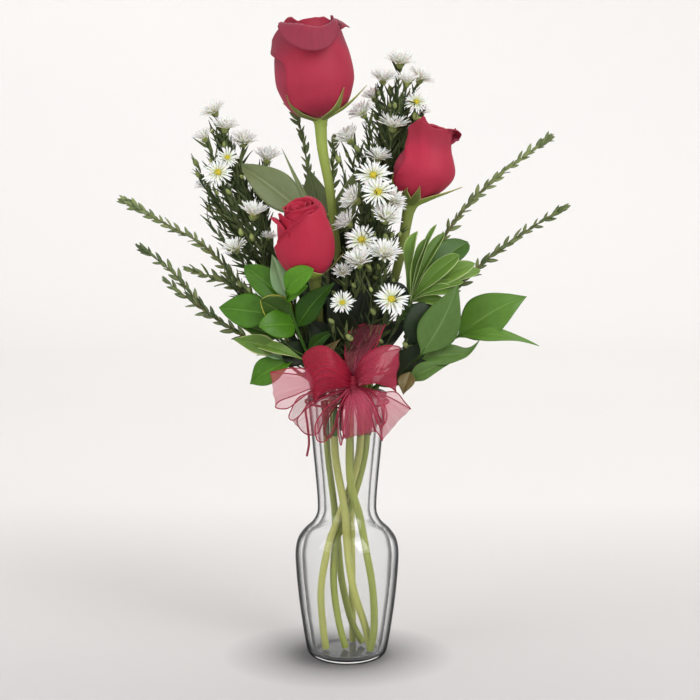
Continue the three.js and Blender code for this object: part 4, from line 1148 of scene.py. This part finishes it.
ray_white, tree, shader = material(
    "aster_ray_white", Roughness=0.55, Specular_IOR_Level=0.3, Subsurface_Weight=0.15,
    Subsurface_Scale=1.5 * MM,
)
rise = axis(tree, node(tree, "UVMap").outputs[0], 1)
foot_tint = ramp(tree, rise, (0.1, 1), (0.62, 0))
ray_tone = toned(tree, "dcd8dc", "fbfbf7")
feed(shader, "Base Color", blend(tree, foot_tint, ray_tone, "cfd58c"))

disc_yellow, tree, shader = material("aster_disc_yellow", Roughness=0.7, Specular_IOR_Level=0.3)
florets = node(tree, "TexVoronoi", {"Vector": on_object(tree), "Scale": 1500.0}).outputs["Distance"]
disc_tone = ramp(tree, florets, (0.0, "eedc44"), (0.6, "b0a22c"))
feed(shader, "Base Color", disc_tone)
emboss(shader, florets, strength=0.6, depth=0.0003)

aster_green, tree, shader = material("aster_green", Roughness=0.55, Specular_IOR_Level=0.25)
spot = on_object(tree)
cloud = cloudy(tree, spot, 60.0)
leaf_tone = toned(tree, "2e3c26", "a8b46c")
clouded = blend(tree, calc(tree, "MULTIPLY", cloud, 0.5), leaf_tone, "3e5230")
height = axis(tree, spot, 2)
in_vase = ramp(tree, calc(tree, "DIVIDE", height, 0.4), (0.42, 1), (0.56, 0))
streaks = cloudy(tree, stretched(tree, spot, (420, 420, 26)), 1.0, 3.0)
stem_tone = blend(tree, streaks, "7f8c38", "a8ae5e")
feed(shader, "Base Color", blend(tree, in_vase, clouded, stem_tone))


def ray_surface(u, v):
    """A narrow ray as long as the head's radius, channelled and blunt at its tip."""
    half = 0.55 * (0.5 + 0.5 * min(1, 2.5 * v)) * (1 - max(0, (v - 0.8) / 0.2) ** 2 * 0.75)
    return Vector((half * u, HEAD_RADIUS * v, 0.2 * u * u - 1.3 * v * v)) * MM


def blade_surface(u, v):
    """A narrow pointed leaf 15 mm long, folded along its midrib."""
    half = 1.4 * along(SEPAL_OUTLINE, v) * min(1, 0.5 + 3 * v)
    return Vector((half * u, 15 * v, 0.35 * abs(u) - 1.8 * v * v)) * MM


ray = thicken(bend(flat_grid(columns=2, rows=5), ray_surface), 0.16)
ray.data.materials.append(ray_white)
narrow_leaf = thicken(bend(flat_grid(columns=2, rows=5), blade_surface), 0.2)
narrow_leaf.data.materials.append(aster_green)


def aster_head(seed, rings, disc_radius):
    """One flower round the origin facing +Z, with rings of (rays, lift, share of length)."""
    random.seed(seed)
    pieces = []
    for count, tilt, reach in rings:
        for k in range(count):
            azimuth = 2 * pi * (k + random.uniform(-0.35, 0.35)) / count
            lift = radians(tilt + random.uniform(-10, 10))
            out = Vector((cos(azimuth), sin(azimuth), 0))
            way = out * cos(lift) + Vector((0, 0, sin(lift)))
            face = Vector((0, 0, cos(lift))) - out * sin(lift)
            root = (out * 0.6 * disc_radius + Vector((0, 0, -0.4))) * MM
            stand = growing(root, way, face, reach * random.uniform(0.82, 1.08))
            pieces.append(copy_at(ray, stand, random.uniform(0.2, 1)))
    bpy.ops.mesh.primitive_ico_sphere_add(subdivisions=3, radius=disc_radius * MM)
    disc = bpy.context.object
    for vertex in disc.data.vertices:
        bump = 1 + 0.16 * noise.noise(vertex.co * 2200)
        x, y, z = vertex.co * bump
        vertex.co = (x, y, 0.62 * z + 0.3 * MM)
    bpy.ops.object.shade_smooth()
    disc.data.materials.append(disc_yellow)
    cup_rows = [(0.5, -3.6), (1.5, -3.1), (2.3, -1.9), (2.4, -0.7), (1.2, 0.1)]
    holder = close_ends(turned(12, [(r * MM, z * MM) for r, z in cup_rows]))
    holder.data.materials.append(aster_green)
    bracts = []
    for k in range(BRACTS):
        azimuth = 2 * pi * k / BRACTS
        out = Vector((cos(azimuth), sin(azimuth), 0))
        root = (out * 1.9 + Vector((0, 0, -3 + 0.7 * (k % 2)))) * MM
        way = Vector((0, 0, 1)) + out * (0.35 + 0.3 * (k % 2))
        bracts.append(copy_at(narrow_leaf, growing(root, way, -out, 0.22), 0.9))
    set_tone(disc, 0.5)
    set_tone(holder, 0.75)
    return joined([*pieces, disc, holder, *bracts])


# Heads as they open: flat, half open, and still a brush of upright rays.
OPEN_HEADS = [
    aster_head(f"open_{k}", ((24, 8 + 6 * k, 1), (18, 24 + 6 * k, 0.86), (10, 46, 0.5)), 2.1)
    for k in range(3)
]
CUPPED_HEADS = [
    aster_head(f"cupped_{k}", ((26, 30 + 8 * k, 1.1), (24, 48 + 6 * k, 1.1), (18, 70, 1)), 1.8)
    for k in range(3)
]


def route_at(route, share):
    """The point and the forward way of a route of even steps at a share of its length."""
    spot = min(max(share, 0), 0.9999) * (len(route) - 1)
    k = int(spot)
    return route[k].lerp(route[k + 1], spot - k), (route[k + 1] - route[k]).normalized()


def leaves_along(master, route, start, every, angles, turn, lean, sizes, tones=(0, 0.3)):
    """Small leaves up a route from a share of it, some at each node, turning node by node."""
    length = sum((b - a).length for a, b in zip(route, route[1:]))
    count = max(1, int((1 - start) * length / (every * MM)))
    leaves = []
    for i in range(count):
        share = start + (1 - start) * (i + 0.5) / count
        root, ahead = route_at(route, share)
        back = (Vector((0, 1, 0)) - ahead * ahead.y).normalized()
        over = ahead.cross(back)
        for angle in angles:
            around = radians(turn * i + angle + random.uniform(-25, 25))
            out = back * cos(around) * 0.75 + over * sin(around)
            tilt = radians(lean + random.uniform(-10, 12) - 8 * share)
            way = ahead * cos(tilt) + out * sin(tilt)
            # The blades turn their faces to the light, which comes from the front and above.
            aside, forward = random.uniform(-0.7, 0.7), random.uniform(-1.3, -0.1)
            face = Vector((aside, forward, random.uniform(-0.2, 1)))
            size = random.uniform(*sizes) * (1 - 0.25 * share)
            leaves.append(copy_at(master, growing(root, way, face, size), random.uniform(*tones)))
    return leaves


def stalk_to(main, spot, face, drop):
    """A stalk from the main stem up to a flower or bud in millimetres."""
    end = Vector(spot) - face * (HEAD_HEEL + 2)
    neck = end - face * 5
    top = main[-1] / MM
    spread = hypot(end.x - top.x, end.y - top.y)
    level = max(end.z - drop * spread - 14, main[0].z / MM + 190)
    root = min(main, key=lambda p: abs(p.z / MM - level)) / MM
    middle = root.lerp(neck, 0.55) + Vector((0.1 * (end.x - root.x), 0, -0.06 * spread))
    return smooth_route([root, middle, neck, end], 16)


bud_rows = [(0.3, -2.4), (1.1, -1.8), (1.5, -0.6), (1.3, 0.8), (0.7, 1.9), (0.2, 2.2)]
bud = close_ends(turned(8, [(r * MM, z * MM) for r, z in bud_rows]))
bud.data.materials.append(aster_green)

for spray in SPRAYS:
    random.seed(spray["name"])
    main = smooth_route(spray["route"], 80)
    runs = [(main, [(0, 2.5), (0.45, 2.5), (0.6, 1.5), (1, 0.9)])]
    leaves = leaves_along(
        narrow_leaf, main, spray["leaves_from"], 2.2, (0, 180), GOLDEN_ANGLE, 34, (0.9, 1.5),
    )
    for i, (x, y, z, facing, size) in enumerate(spray["flowers"]):
        face = Vector(facing).normalized()
        kind = OPEN_HEADS if facing == FORWARD else CUPPED_HEADS
        turn = face.to_track_quat("Z", "Y").to_matrix().to_4x4()
        spin = Matrix.Rotation(random.uniform(0, 2 * pi), 4, "Z")
        grow = Matrix.Diagonal((size, size, size, 1))
        stand = Matrix.Translation(Vector((x, y, z)) * MM) @ turn @ spin @ grow
        head = copy_at(kind[i % len(kind)], stand, 0.8)
        flower = f"{spray['name']}_flower_{i + 1}"
        place(head, flower.replace("flower", "head"), "aster_flower", flower)
        stalk = stalk_to(main, (x, y, z), face, random.uniform(0.8, 1.5))
        runs.append((stalk, [(0, 0.75), (0.8, 0.55), (1, 0.9)]))
        leaves += leaves_along(narrow_leaf, stalk, 0.1, 2.6, (0,), GOLDEN_ANGLE, 30, (0.6, 1.2))
        for _ in range(SIDE_TWIGS):
            shift = Vector((random.uniform(-10, 10), random.uniform(-8, 8), random.uniform(-30, -5)))
            twig = stalk_to(main, Vector((x, y, z)) + shift, face, random.uniform(1, 2.2))
            runs.append((twig, [(0, 0.6), (1, 0.4)]))
            leaves += leaves_along(narrow_leaf, twig, 0.2, 3, (0,), GOLDEN_ANGLE, 28, (0.5, 1.1))
            if random.random() < BUD_SHARE:
                swell = random.uniform(0.8, 1.4)
                tip = growing(twig[-1], Vector((0.3, -0.4, 0.1)), twig[-1] - twig[-3], swell)
                leaves.append(copy_at(bud, tip, random.uniform(0.5, 1)))
    stalks = tubes(runs)
    stalks.data.materials.append(aster_green)
    set_tone(stalks, 0.12)
    place(joined([stalks, *leaves]), spray["name"] + "_stalks", "aster_green", spray["name"] + "_spray")

# ---- Myrtle twigs ------------------------------------------------------------------
# Five woody twigs of myrtle, thin and brown, with small stiff pointed leaves in
# crossed pairs that spear forward and close into a tuft at each tip.
TWIGS = [
    {
        "name": "myrtle_left_high", "every": 3.4, "tones": (0.35, 1),
        "routes": [
            [
                (-15.5, 0, 160), (-19, 0, 190), (-38, 2, 222), (-60, 4, 248), (-82, 6, 274),
                (-102, 8, 294), (-129, 11, 309), (-154, 14, 323),
            ],
            [(-70, 5, 260), (-90, 0, 270), (-108, -2, 276)],
        ],
    },
    {
        "name": "myrtle_left_low", "every": 4.2, "tones": (0, 0.6),
        "routes": [
            [
                (-13, -9, 160), (-16, -10, 190), (-36, -12, 208), (-59, -12, 224),
                (-79, -12, 236), (-98, -14, 250), (-117, -18, 274), (-138, -22, 292),
            ],
            [(-88, -12, 242), (-106, -18, 256), (-122, -20, 269)],
        ],
    },
    {
        "name": "myrtle_right_high", "every": 3.8, "tones": (0.25, 0.9),
        "routes": [
            [
                (9, 13, 160), (10.5, 15, 190), (30, 15, 225), (52, 13, 265), (68, 12, 298),
                (84, 13, 320), (107, 15, 342), (140, 18, 366),
            ],
        ],
    },
    {
        "name": "myrtle_right_low", "every": 4.0, "tones": (0.1, 0.7),
        "routes": [
            [
                (16, 1, 160), (19.5, 1, 190), (38, -1, 215), (58, -3, 240), (78, -6, 266),
                (97, -10, 285), (118, -14, 301), (146, -19, 319),
            ],
        ],
    },
    {
        "name": "myrtle_top", "every": 3.4, "tones": (0.1, 0.7),
        "routes": [
            [
                (0, 15.5, 160), (0, 18.5, 190), (-8, 28, 240), (-18, 31, 290), (-26, 30, 335),
                (-32, 28, 370), (-38, 27, 388),
            ],
            [(-16, 31, 280), (-12, 32, 320), (-9, 28, 364)],
        ],
    },
]

myrtle_leaf, tree, shader = material("myrtle_leaf", Roughness=0.45)
_, side, _ = on_blade(tree)
rib = ramp(tree, side, (0.0, 1), (0.12, 0))
leaf_tone = toned(tree, "475a3a", "84925a")
ribbed = blend(tree, calc(tree, "MULTIPLY", rib, 0.5), leaf_tone, "a0ac6c")
feed(shader, "Base Color", ribbed)

twig_bark, tree, shader = material("myrtle_bark", Roughness=0.75)
bark = cloudy(tree, on_object(tree), 260.0, 3.0)
feed(shader, "Base Color", blend(tree, bark, "54482f", "7c7a48"))


def myrtle_surface(u, v):
    """A stiff pointed leaf 10 mm long, folded along its midrib."""
    half = 1.55 * sin(pi * min(1, 0.06 + v ** 0.85 * 0.94)) ** 0.8
    return Vector((half * u, 10 * v, 0.4 * abs(u) + 0.9 * v * (1 - v))) * MM


small_leaf = thicken(bend(flat_grid(columns=2, rows=6), myrtle_surface), 0.3)
small_leaf.data.materials.append(myrtle_leaf)
for twig in TWIGS:
    random.seed(twig["name"])
    runs, leaves = [], []
    tones = twig["tones"]
    for k, corners in enumerate(twig["routes"]):
        route = smooth_route(corners, 60)
        # The first route is the twig itself, bare where it stands in the neck.
        root_radius, middle_radius, start = (1.4, 1.0, 0.3) if k == 0 else (0.8, 0.6, 0.06)
        runs.append((route, [(0, root_radius), (0.5, middle_radius), (1, 0.35)]))
        leaves += leaves_along(
            small_leaf, route, start, twig["every"], (0, 180), 90, 34, (0.75, 1.25), tones,
        )
        leaves += leaves_along(small_leaf, route, 0.96, 1.6, (0, 120, 240), 60, 24, (0.8, 1.1), tones)
    wood = tubes(runs)
    wood.data.materials.append(twig_bark)
    set_tone(wood, 0)
    place(joined([wood, *leaves]), twig["name"] + "_twig", "myrtle", twig["name"])

# ---- Leafy stems -------------------------------------------------------------------
# Six short stems of broad leaves that collar the neck of the arrangement: glossy fresh
# greens at the left and right, olive ones behind the roses and dark ones in the middle,
# their near-black partly their own dark green and partly painted shade.
LEAFY_STEMS = [
    {
        "name": "ruscus_left", "slot": "leaf", "finish": "fresh",
        "route": [(-8, -13.5, 162), (-9.5, -15.5, 190), (-24, -22, 215), (-34, -26, 238), (-41, -27, 262)],
        # share of the stem, tip, greatest width, facing, tone, and what is out of the ordinary
        "leaves": [
            (0.93, (-70, -22, 281), 19, (0, -1, 0.35), 0.62, {"outline": "oval", "arch": 2}),
            (0.97, (-51, -23, 289), 14, (0.2, -1, 0.1), 0.6, {"finish": "pale", "fold": 0.1}),
            (
                0.97, (-22, -50, 281), 17, (-0.2, -1, 0.4), 1,
                {"outline": "oval", "arch": 3, "base": (-41, -37, 266)},
            ),
            (0.95, (-26, -38, 269), 8, (-0.2, -1, 0.3), 0.85, {"outline": "oval", "base": (-41, -29, 258)}),
            (0.86, (-88, -18, 252), 25, (0, -1, 0.35), 0.62, {"outline": "stalked", "arch": 5}),
            (
                0.84, (-58, -38, 259), 19, (0.2, -1, 0.2), 0.35,
                {"finish": "rimmed", "outline": "oval", "arch": -2},
            ),
            (0.8, (-59, -45, 242), 20, (0, -1, 0.4), 0.72, {"outline": "oval", "arch": 3, "fold": 0.08}),
            (
                0.56, (-75, -22, 240), 13, (0.1, -1, 0.5), 0.1,
                {"finish": "variegated", "base": (-46, -23, 231)},
            ),
            (
                0.54, (-78, -26, 231), 14, (0, -1, 0.2), 0.7,
                {"finish": "variegated", "arch": 5, "base": (-46, -25, 223)},
            ),
            (
                0.5, (-72, -24, 228), 9, (0, -1, 0.8), 1,
                {"finish": "variegated", "outline": "stalked", "arch": 9},
            ),
            (
                0.44, (-62, -26, 220), 6, (0, -1, 0.9), 0.4,
                {"finish": "pale", "arch": 4, "base": (-42, -25, 217)},
            ),
            (
                0.44, (-67, -20, 199), 19, (0, -1, 0.5), 0.7,
                {"outline": "drip", "arch": 6, "base": (-37, -24, 217)},
            ),
            (0.4, (-36, -32, 208), 7, (0, -1, 0.2), 0.3, {"outline": "lance"}),
            (0.4, (-52, -20, 225), 17, (0, -1, 0.3), 0.4, {"finish": "dark", "base": (-25, -19, 216)}),
            (0.78, (-8, -38, 271), 17, (-0.2, -1, 0.3), 0.12, {"arch": 3}),
            (0.6, (-5, -36, 240), 9, (0, -1, 0.4), 0.05, {"outline": "lance", "arch": 6}),
            (0.46, (-4, -38, 233), 12, (0, -1, 0.5), 0.2, {"finish": "withered", "arch": 7}),
        ],
    },
    {
        "name": "pittosporum_right", "slot": "leaf", "finish": "margined",
        "route": [(8, -13.5, 162), (9.5, -15.5, 190), (24, -20, 222), (38, -21, 246), (45, -20, 260)],
        "leaves": [
            (1, (47.5, -30, 305), 10, (-0.8, -0.6, 0), 1, {"outline": "blade", "fold": 0.9, "arch": 2}),
            (1, (54, -22, 300), 6, (-0.7, -0.7, 0), 0.5, {"outline": "blade", "fold": 0.6}),
            (1, (61, -18, 309), 6, (-0.7, -0.7, 0), 0.7, {"outline": "blade", "fold": 0.6}),
            (1, (67, -12, 303), 8, (-0.6, -0.8, 0), 0.45, {"outline": "blade", "fold": 0.5}),
            (1, (76, -30, 289), 15, (-0.4, -0.8, 0.5), 0.35, {"outline": "spoon", "arch": 5, "fold": 0.12}),
            (
                0.99, (84, 2, 296), 19, (-0.3, -0.8, 0.5), 0.1,
                {"outline": "spoon", "finish": "salal", "arch": 5},
            ),
            (1, (87, -26, 283), 15, (-0.2, -0.8, 0.7), 0.85, {"outline": "spoon", "arch": 6, "fold": 0.1}),
            (0.99, (92, -12, 277), 9, (0, -0.8, 0.6), 0.9, {"outline": "spoon", "arch": 7}),
            (0.98, (79, -34, 271), 7, (0, -0.8, 0.7), 0.45, {"outline": "blade", "arch": 5}),
            (0.98, (73, -36, 266), 8, (0, -0.8, 0.7), 0.3, {"outline": "blade", "arch": 4}),
            (0.96, (67, -30, 256), 8, (0, -0.8, 0.5), 0.9, {"outline": "spoon", "arch": 3}),
            (0.9, (30, -30, 270), 11, (0.3, -0.9, 0.2), 0.1, {"outline": "spoon", "finish": "dark"}),
        ],
    },
    {
        "name": "salal_right", "slot": "leaf", "finish": "salal",
        "route": [(13, -8, 162), (15.5, -9.5, 190), (34, -14, 207), (56, -18, 222), (80, -21, 234)],
        "leaves": [
            (1, (123, -22, 260), 31, (0, -0.9, 0.5), 0.75, {"arch": 5, "fold": 0.12}),
            (
                0.98, (131, -31, 227), 11, (0, -0.8, 0.7), 0.95,
                {"outline": "lance", "arch": 9, "fold": 0.12},
            ),
            (
                0.5, (75, -38, 270), 27, (-0.2, -1, 0), 0.5,
                {"arch": 3, "fold": 0.1, "finish": "dull", "base": (50, -39, 222)},
            ),
            (
                0.5, (90, -38, 223), 15, (0, -0.9, 0.5), 0.6,
                {"arch": 4, "hook": 10, "finish": "dull", "base": (50, -33, 219)},
            ),
            (
                0.36, (73, -39, 218), 12, (0, -0.9, 0.5), 0.65,
                {"outline": "lance", "finish": "dull", "base": (40, -35, 203)},
            ),
            (
                0.34, (38, -41, 195), 12, (-0.3, -0.9, 0.1), 0.6,
                {"arch": 3, "finish": "withered", "base": (43, -36, 210)},
            ),
            (0.34, (53, -40, 205), 8, (0, -0.9, 0.5), 1, {"arch": 3, "finish": "variegated"}),
            (
                0.42, (57, -29, 256), 28, (0, -1, 0), 0.5,
                {"teeth": 2, "finish": "dark", "outline": "spoon", "base": (38, -27, 212)},
            ),
            (0.36, (60, -30, 232), 22, (0, -1, 0.2), 0.4, {"finish": "dark", "base": (30, -27, 200)}),
        ],
    },
    {
        "name": "broad_leaves", "slot": "olive_leaf", "finish": "olive",
        "route": [(-3.5, 7.5, 162), (-5, 9.5, 190), (-9, 12, 240), (-13, 12, 285), (-16, 11, 308)],
        "leaves": [
            (1, (-76, 5, 350), 27, (0.1, -0.9, 0.5), 0.6, {"outline": "stalked", "arch": 5}),
            (0.98, (-27, 27, 346), 21, (-0.2, -1, 0), 0.2, {}),
            (0.95, (14, 25, 355), 15, (0.3, -1, 0), 0.75, {}),
            (0.9, (-46, 16, 361), 4, (0, -1, 0.2), 0.9, {"outline": "lance"}),
            (0.9, (8, 14, 330), 16, (0, -0.9, 0.3), 0.3, {}),
            (0.8, (4, 10, 308), 17, (0.2, -1, 0.1), 0.1, {"finish": "dark"}),
        ],
    },
    {
        "name": "dark_leaves_front", "slot": "dark_leaf", "finish": "dark",
        "route": [(0, -15.5, 162), (0, -18, 190), (1, -22, 212), (2, -24, 228)],
        "leaves": [
            (0.95, (-14, -44, 263), 20, (0, -1, 0.2), 0.15, {}),
            (0.95, (14, -33, 272), 18, (0.2, -1, 0.1), 0.1, {}),
            (0.6, (26, -26, 240), 17, (0.2, -1, 0.2), 0.3, {}),
            (0.8, (-28, -24, 245), 18, (0, -1, 0.4), 0.3, {}),
            (0.7, (-34, -24, 214), 16, (0, -1, 0.5), 0.45, {}),
            (0.9, (-34, -10, 262), 22, (0, -1, 0.1), 0.1, {}),
            (0.9, (31, -14, 275), 22, (0.1, -1, 0.1), 0.2, {}),
            (0.8, (45, -14, 244), 20, (0, -1, 0.2), 0.1, {}),
            (0.95, (-4, -8, 290), 24, (0, -1, 0), 0.0, {}),
            (0.6, (-42, -12, 232), 17, (0, -1, 0.3), 0.2, {}),
            (0.95, (12, -20, 290), 16, (0.1, -1, 0), 0.3, {"outline": "lance"}),
        ],
    },
    {
        "name": "dark_leaves_back", "slot": "dark_leaf", "finish": "dark",
        "route": [(-7.5, 13, 162), (-9.5, 15.5, 190), (-14, 27, 218), (-14, 36, 242)],
        "leaves": [
            (0.98, (-42, 44, 270), 23, (0, 1, 0.5), 0.7, {"arch": 6}),
            (1, (-22, 44, 296), 23, (0, 1, 0.2), 0.4, {"arch": 5}),
            (1, (10, 44, 292), 24, (0, 1, 0.2), 0.6, {"arch": 5}),
            (0.9, (34, 42, 268), 23, (0, 1, 0.5), 0.3, {"arch": 6}),
            (0.7, (38, 40, 232), 20, (0, 0.9, 0.6), 0.8, {"arch": 7}),
            (0.7, (-48, 36, 232), 20, (0, 0.9, 0.6), 0.5, {"arch": 7}),
            (0.75, (-6, 56, 226), 18, (0, 0.6, 0.9), 0.6, {"arch": 7}),
        ],
    },
]
# Half-width of a leaf, as a share of its widest, along its length.
OUTLINES = {
    "ovate": [
        (0, 0.05), (0.06, 0.2), (0.16, 0.62), (0.3, 0.95), (0.42, 1), (0.6, 0.84), (0.8, 0.44),
        (0.93, 0.14), (1, 0),
    ],
    "oval": [
        (0, 0.1), (0.06, 0.4), (0.18, 0.8), (0.38, 1), (0.6, 0.97), (0.8, 0.72), (0.93, 0.36),
        (0.98, 0.12), (1, 0),
    ],
    "drip": [
        (0, 0.1), (0.1, 0.36), (0.3, 0.8), (0.5, 1), (0.68, 0.9), (0.84, 0.5), (0.93, 0.18),
        (1, 0),
    ],
    "spoon": [(0, 0.08), (0.25, 0.34), (0.5, 0.78), (0.72, 1), (0.88, 0.82), (0.97, 0.4), (1, 0)],
    "blade": [(0, 0.2), (0.3, 0.5), (0.6, 0.9), (0.8, 1), (0.93, 0.66), (1, 0)],
    "lance": [(0, 0.08), (0.15, 0.5), (0.35, 1), (0.6, 0.8), (0.8, 0.4), (0.94, 0.12), (1, 0)],
    "stalked": [
        (0, 0.06), (0.2, 0.07), (0.28, 0.3), (0.42, 0.8), (0.56, 1), (0.72, 0.84), (0.88, 0.44),
        (1, 0),
    ],
}
LEAF_THICKNESS = 0.36


def leaf_finish(name, dark, light, rib, margin=None, gloss=0.42):
    """Leaf green by tone, with a pale midrib, side veins and, on some, a pale margin."""
    made, tree, shader = material(name, Roughness=gloss, Specular_IOR_Level=0.4)
    coordinates, side, rise = on_blade(tree)
    slanted = calc(tree, "MULTIPLY_ADD", rise, 8.5, calc(tree, "MULTIPLY", side, -4.5))
    wave = calc(tree, "ABSOLUTE", calc(tree, "SINE", calc(tree, "MULTIPLY", slanted, pi)))
    side_veins = ramp(tree, wave, (0.0, 1), (0.16, 0))
    midrib = ramp(tree, side, (0.006, 1), (0.03, 0))
    cloud = cloudy(tree, stretched(tree, coordinates, (3, 5, 1)), 1.6, 3.0)
    streaks = cloudy(tree, stretched(tree, coordinates, (16, 2.5, 1)), 1.0)
    body = toned(tree, dark, light)
    clouded = blend(tree, calc(tree, "MULTIPLY", cloud, 0.5), body, dark)
    veined = blend(tree, calc(tree, "MULTIPLY", side_veins, 0.12), clouded, rib)
    ribbed = blend(tree, calc(tree, "MULTIPLY", midrib, 0.4), veined, rib)
    if margin:
        place_share = calc(tree, "MULTIPLY_ADD", streaks, 0.2, calc(tree, "SUBTRACT", side, 0.1))
        band = ramp(tree, place_share, (0.42, 0), (0.48, 0.85))
        ribbed = blend(tree, band, ribbed, margin)
    feed(shader, "Base Color", ribbed)
    raised = calc(tree, "MULTIPLY_ADD", side_veins, -0.5, calc(tree, "MULTIPLY", midrib, -1.0))
    skin = cloudy(tree, on_object(tree), 700.0)
    relief = calc(tree, "MULTIPLY_ADD", skin, 0.25, raised)
    emboss(shader, relief, strength=0.35, depth=0.0003)
    return made


# name: darkest and lightest face, veins, margin
LEAF_TONES = {
    "fresh": ("22420c", "58921c", "78a642"),
    "pale": ("6c9064", "98ba88", "b0c8a0"),
    "rimmed": ("2c4814", "4c7020", "7c9840", "bcb844"),
    "variegated": ("34561a", "74983e", "9cb46a", "c4ca8e"),
    "margined": ("44661e", "7a9e44", "9cb46a", "b2c484"),
    "salal": ("355c14", "648e32", "86a656"),
    "dull": ("385620", "6a8c46", "86a064"),
    "withered": ("54482a", "8a7c4c", "a09060"),
    "olive": ("525f38", "7e8c5c", "98a278"),
    # The dark finish is near black: partly the leaves' own dark green, partly painted shade where the
    # middle of the arrangement lies in shadow.
    "dark": ("0e160b", "38502c", "465c38"),
}
LEAF_FINISHES = {name: leaf_finish("leaf_" + name, *codes) for name, codes in LEAF_TONES.items()}
leaf_back = leaf_finish("leaf_underside", "52643c", "84946a", "a0ae84", gloss=0.6)


def leaf(root, tip, width, face, tone, arch=4, outline="ovate", teeth=0, hook=0, fold=0.25):
    """A leaf from root to tip in millimetres, arched towards its face, its halves raised."""
    way = (tip - root).normalized()
    side = way.cross(Vector(face)).normalized()
    normal = side.cross(way).normalized()
    seed = random.uniform(0, 99)
    turn = random.uniform(-0.3, 0.3)

    def surface(u, v):
        half = width / 2 * along(OUTLINES[outline], v)
        saw = teeth * (11 * v % 1) * min(1, half / 4) if abs(u) > 0.98 else 0
        spread = (half + saw) * u
        channel = 0.5 * max(0, 1 - (spread / 1.3) ** 2) if half > 2 else 0
        wavy = 0.9 * sin(8 * v + seed) * u * abs(u) * min(1, half / 4)
        bow = 4 * arch * v * (1 - v) - 0.02 * width * sin(2 * pi * v)
        lift = bow + fold * abs(spread) - 0.006 * spread * spread + wavy - channel
        sway = 0.03 * width * sin(pi * v) * turn * 10
        twist = turn * (v - 0.2) * spread
        curl = Vector((0, 0, hook * max(0, (v - 0.72) / 0.28) ** 2))
        return (root.lerp(tip, v) + side * (spread + sway) + normal * (lift + twist) + curl) * MM

    piece = thicken(bend(flat_grid(columns=14, rows=26), surface), LEAF_THICKNESS, under=1)
    set_tone(piece, tone)
    return piece


for stem in LEAFY_STEMS:
    random.seed(stem["name"])
    route = smooth_route(stem["route"], 40)
    runs, pieces = [(route, [(0, 1.5), (0.6, 1.2), (1, 0.8)])], []
    for share, tip, width, face, tone, rest in stem["leaves"]:
        shape = dict(rest)
        finish = shape.pop("finish", stem["finish"])
        root, _ = route_at(route, min(share, 0.96))
        base = shape.pop("base", None)
        if base:
            # The leaf stands off on a thin stalk of its own.
            foot = root / MM
            beyond = Vector(base).lerp(Vector(tip), 0.12)
            sag = foot.lerp(Vector(base), 0.5) - Vector((0, 0, 1.5))
            runs.append((smooth_route([foot, sag, base, beyond], 12), [(0, 0.8), (1, 0.4)]))
            root = Vector(base) * MM
        piece = leaf(root / MM, Vector(tip), width, face, tone, **shape)
        piece.data.materials.append(LEAF_FINISHES[finish])
        piece.data.materials.append(leaf_back)
        pieces.append(piece)
    stalks = tubes(runs, resolution=3)
    stalks.data.materials.append(LEAF_FINISHES["salal" if stem["slot"] == "leaf" else "dark"])
    set_tone(stalks, 0.1)
    place(joined([stalks, *pieces]), stem["name"] + "_leaves", stem["slot"], stem["name"])

# ---- Clearing up -------------------------------------------------------------------
# The small parts that were only copied from are taken out.
for master in (ray, narrow_leaf, bud, small_leaf, *OPEN_HEADS, *CUPPED_HEADS):
    bpy.data.objects.remove(master)
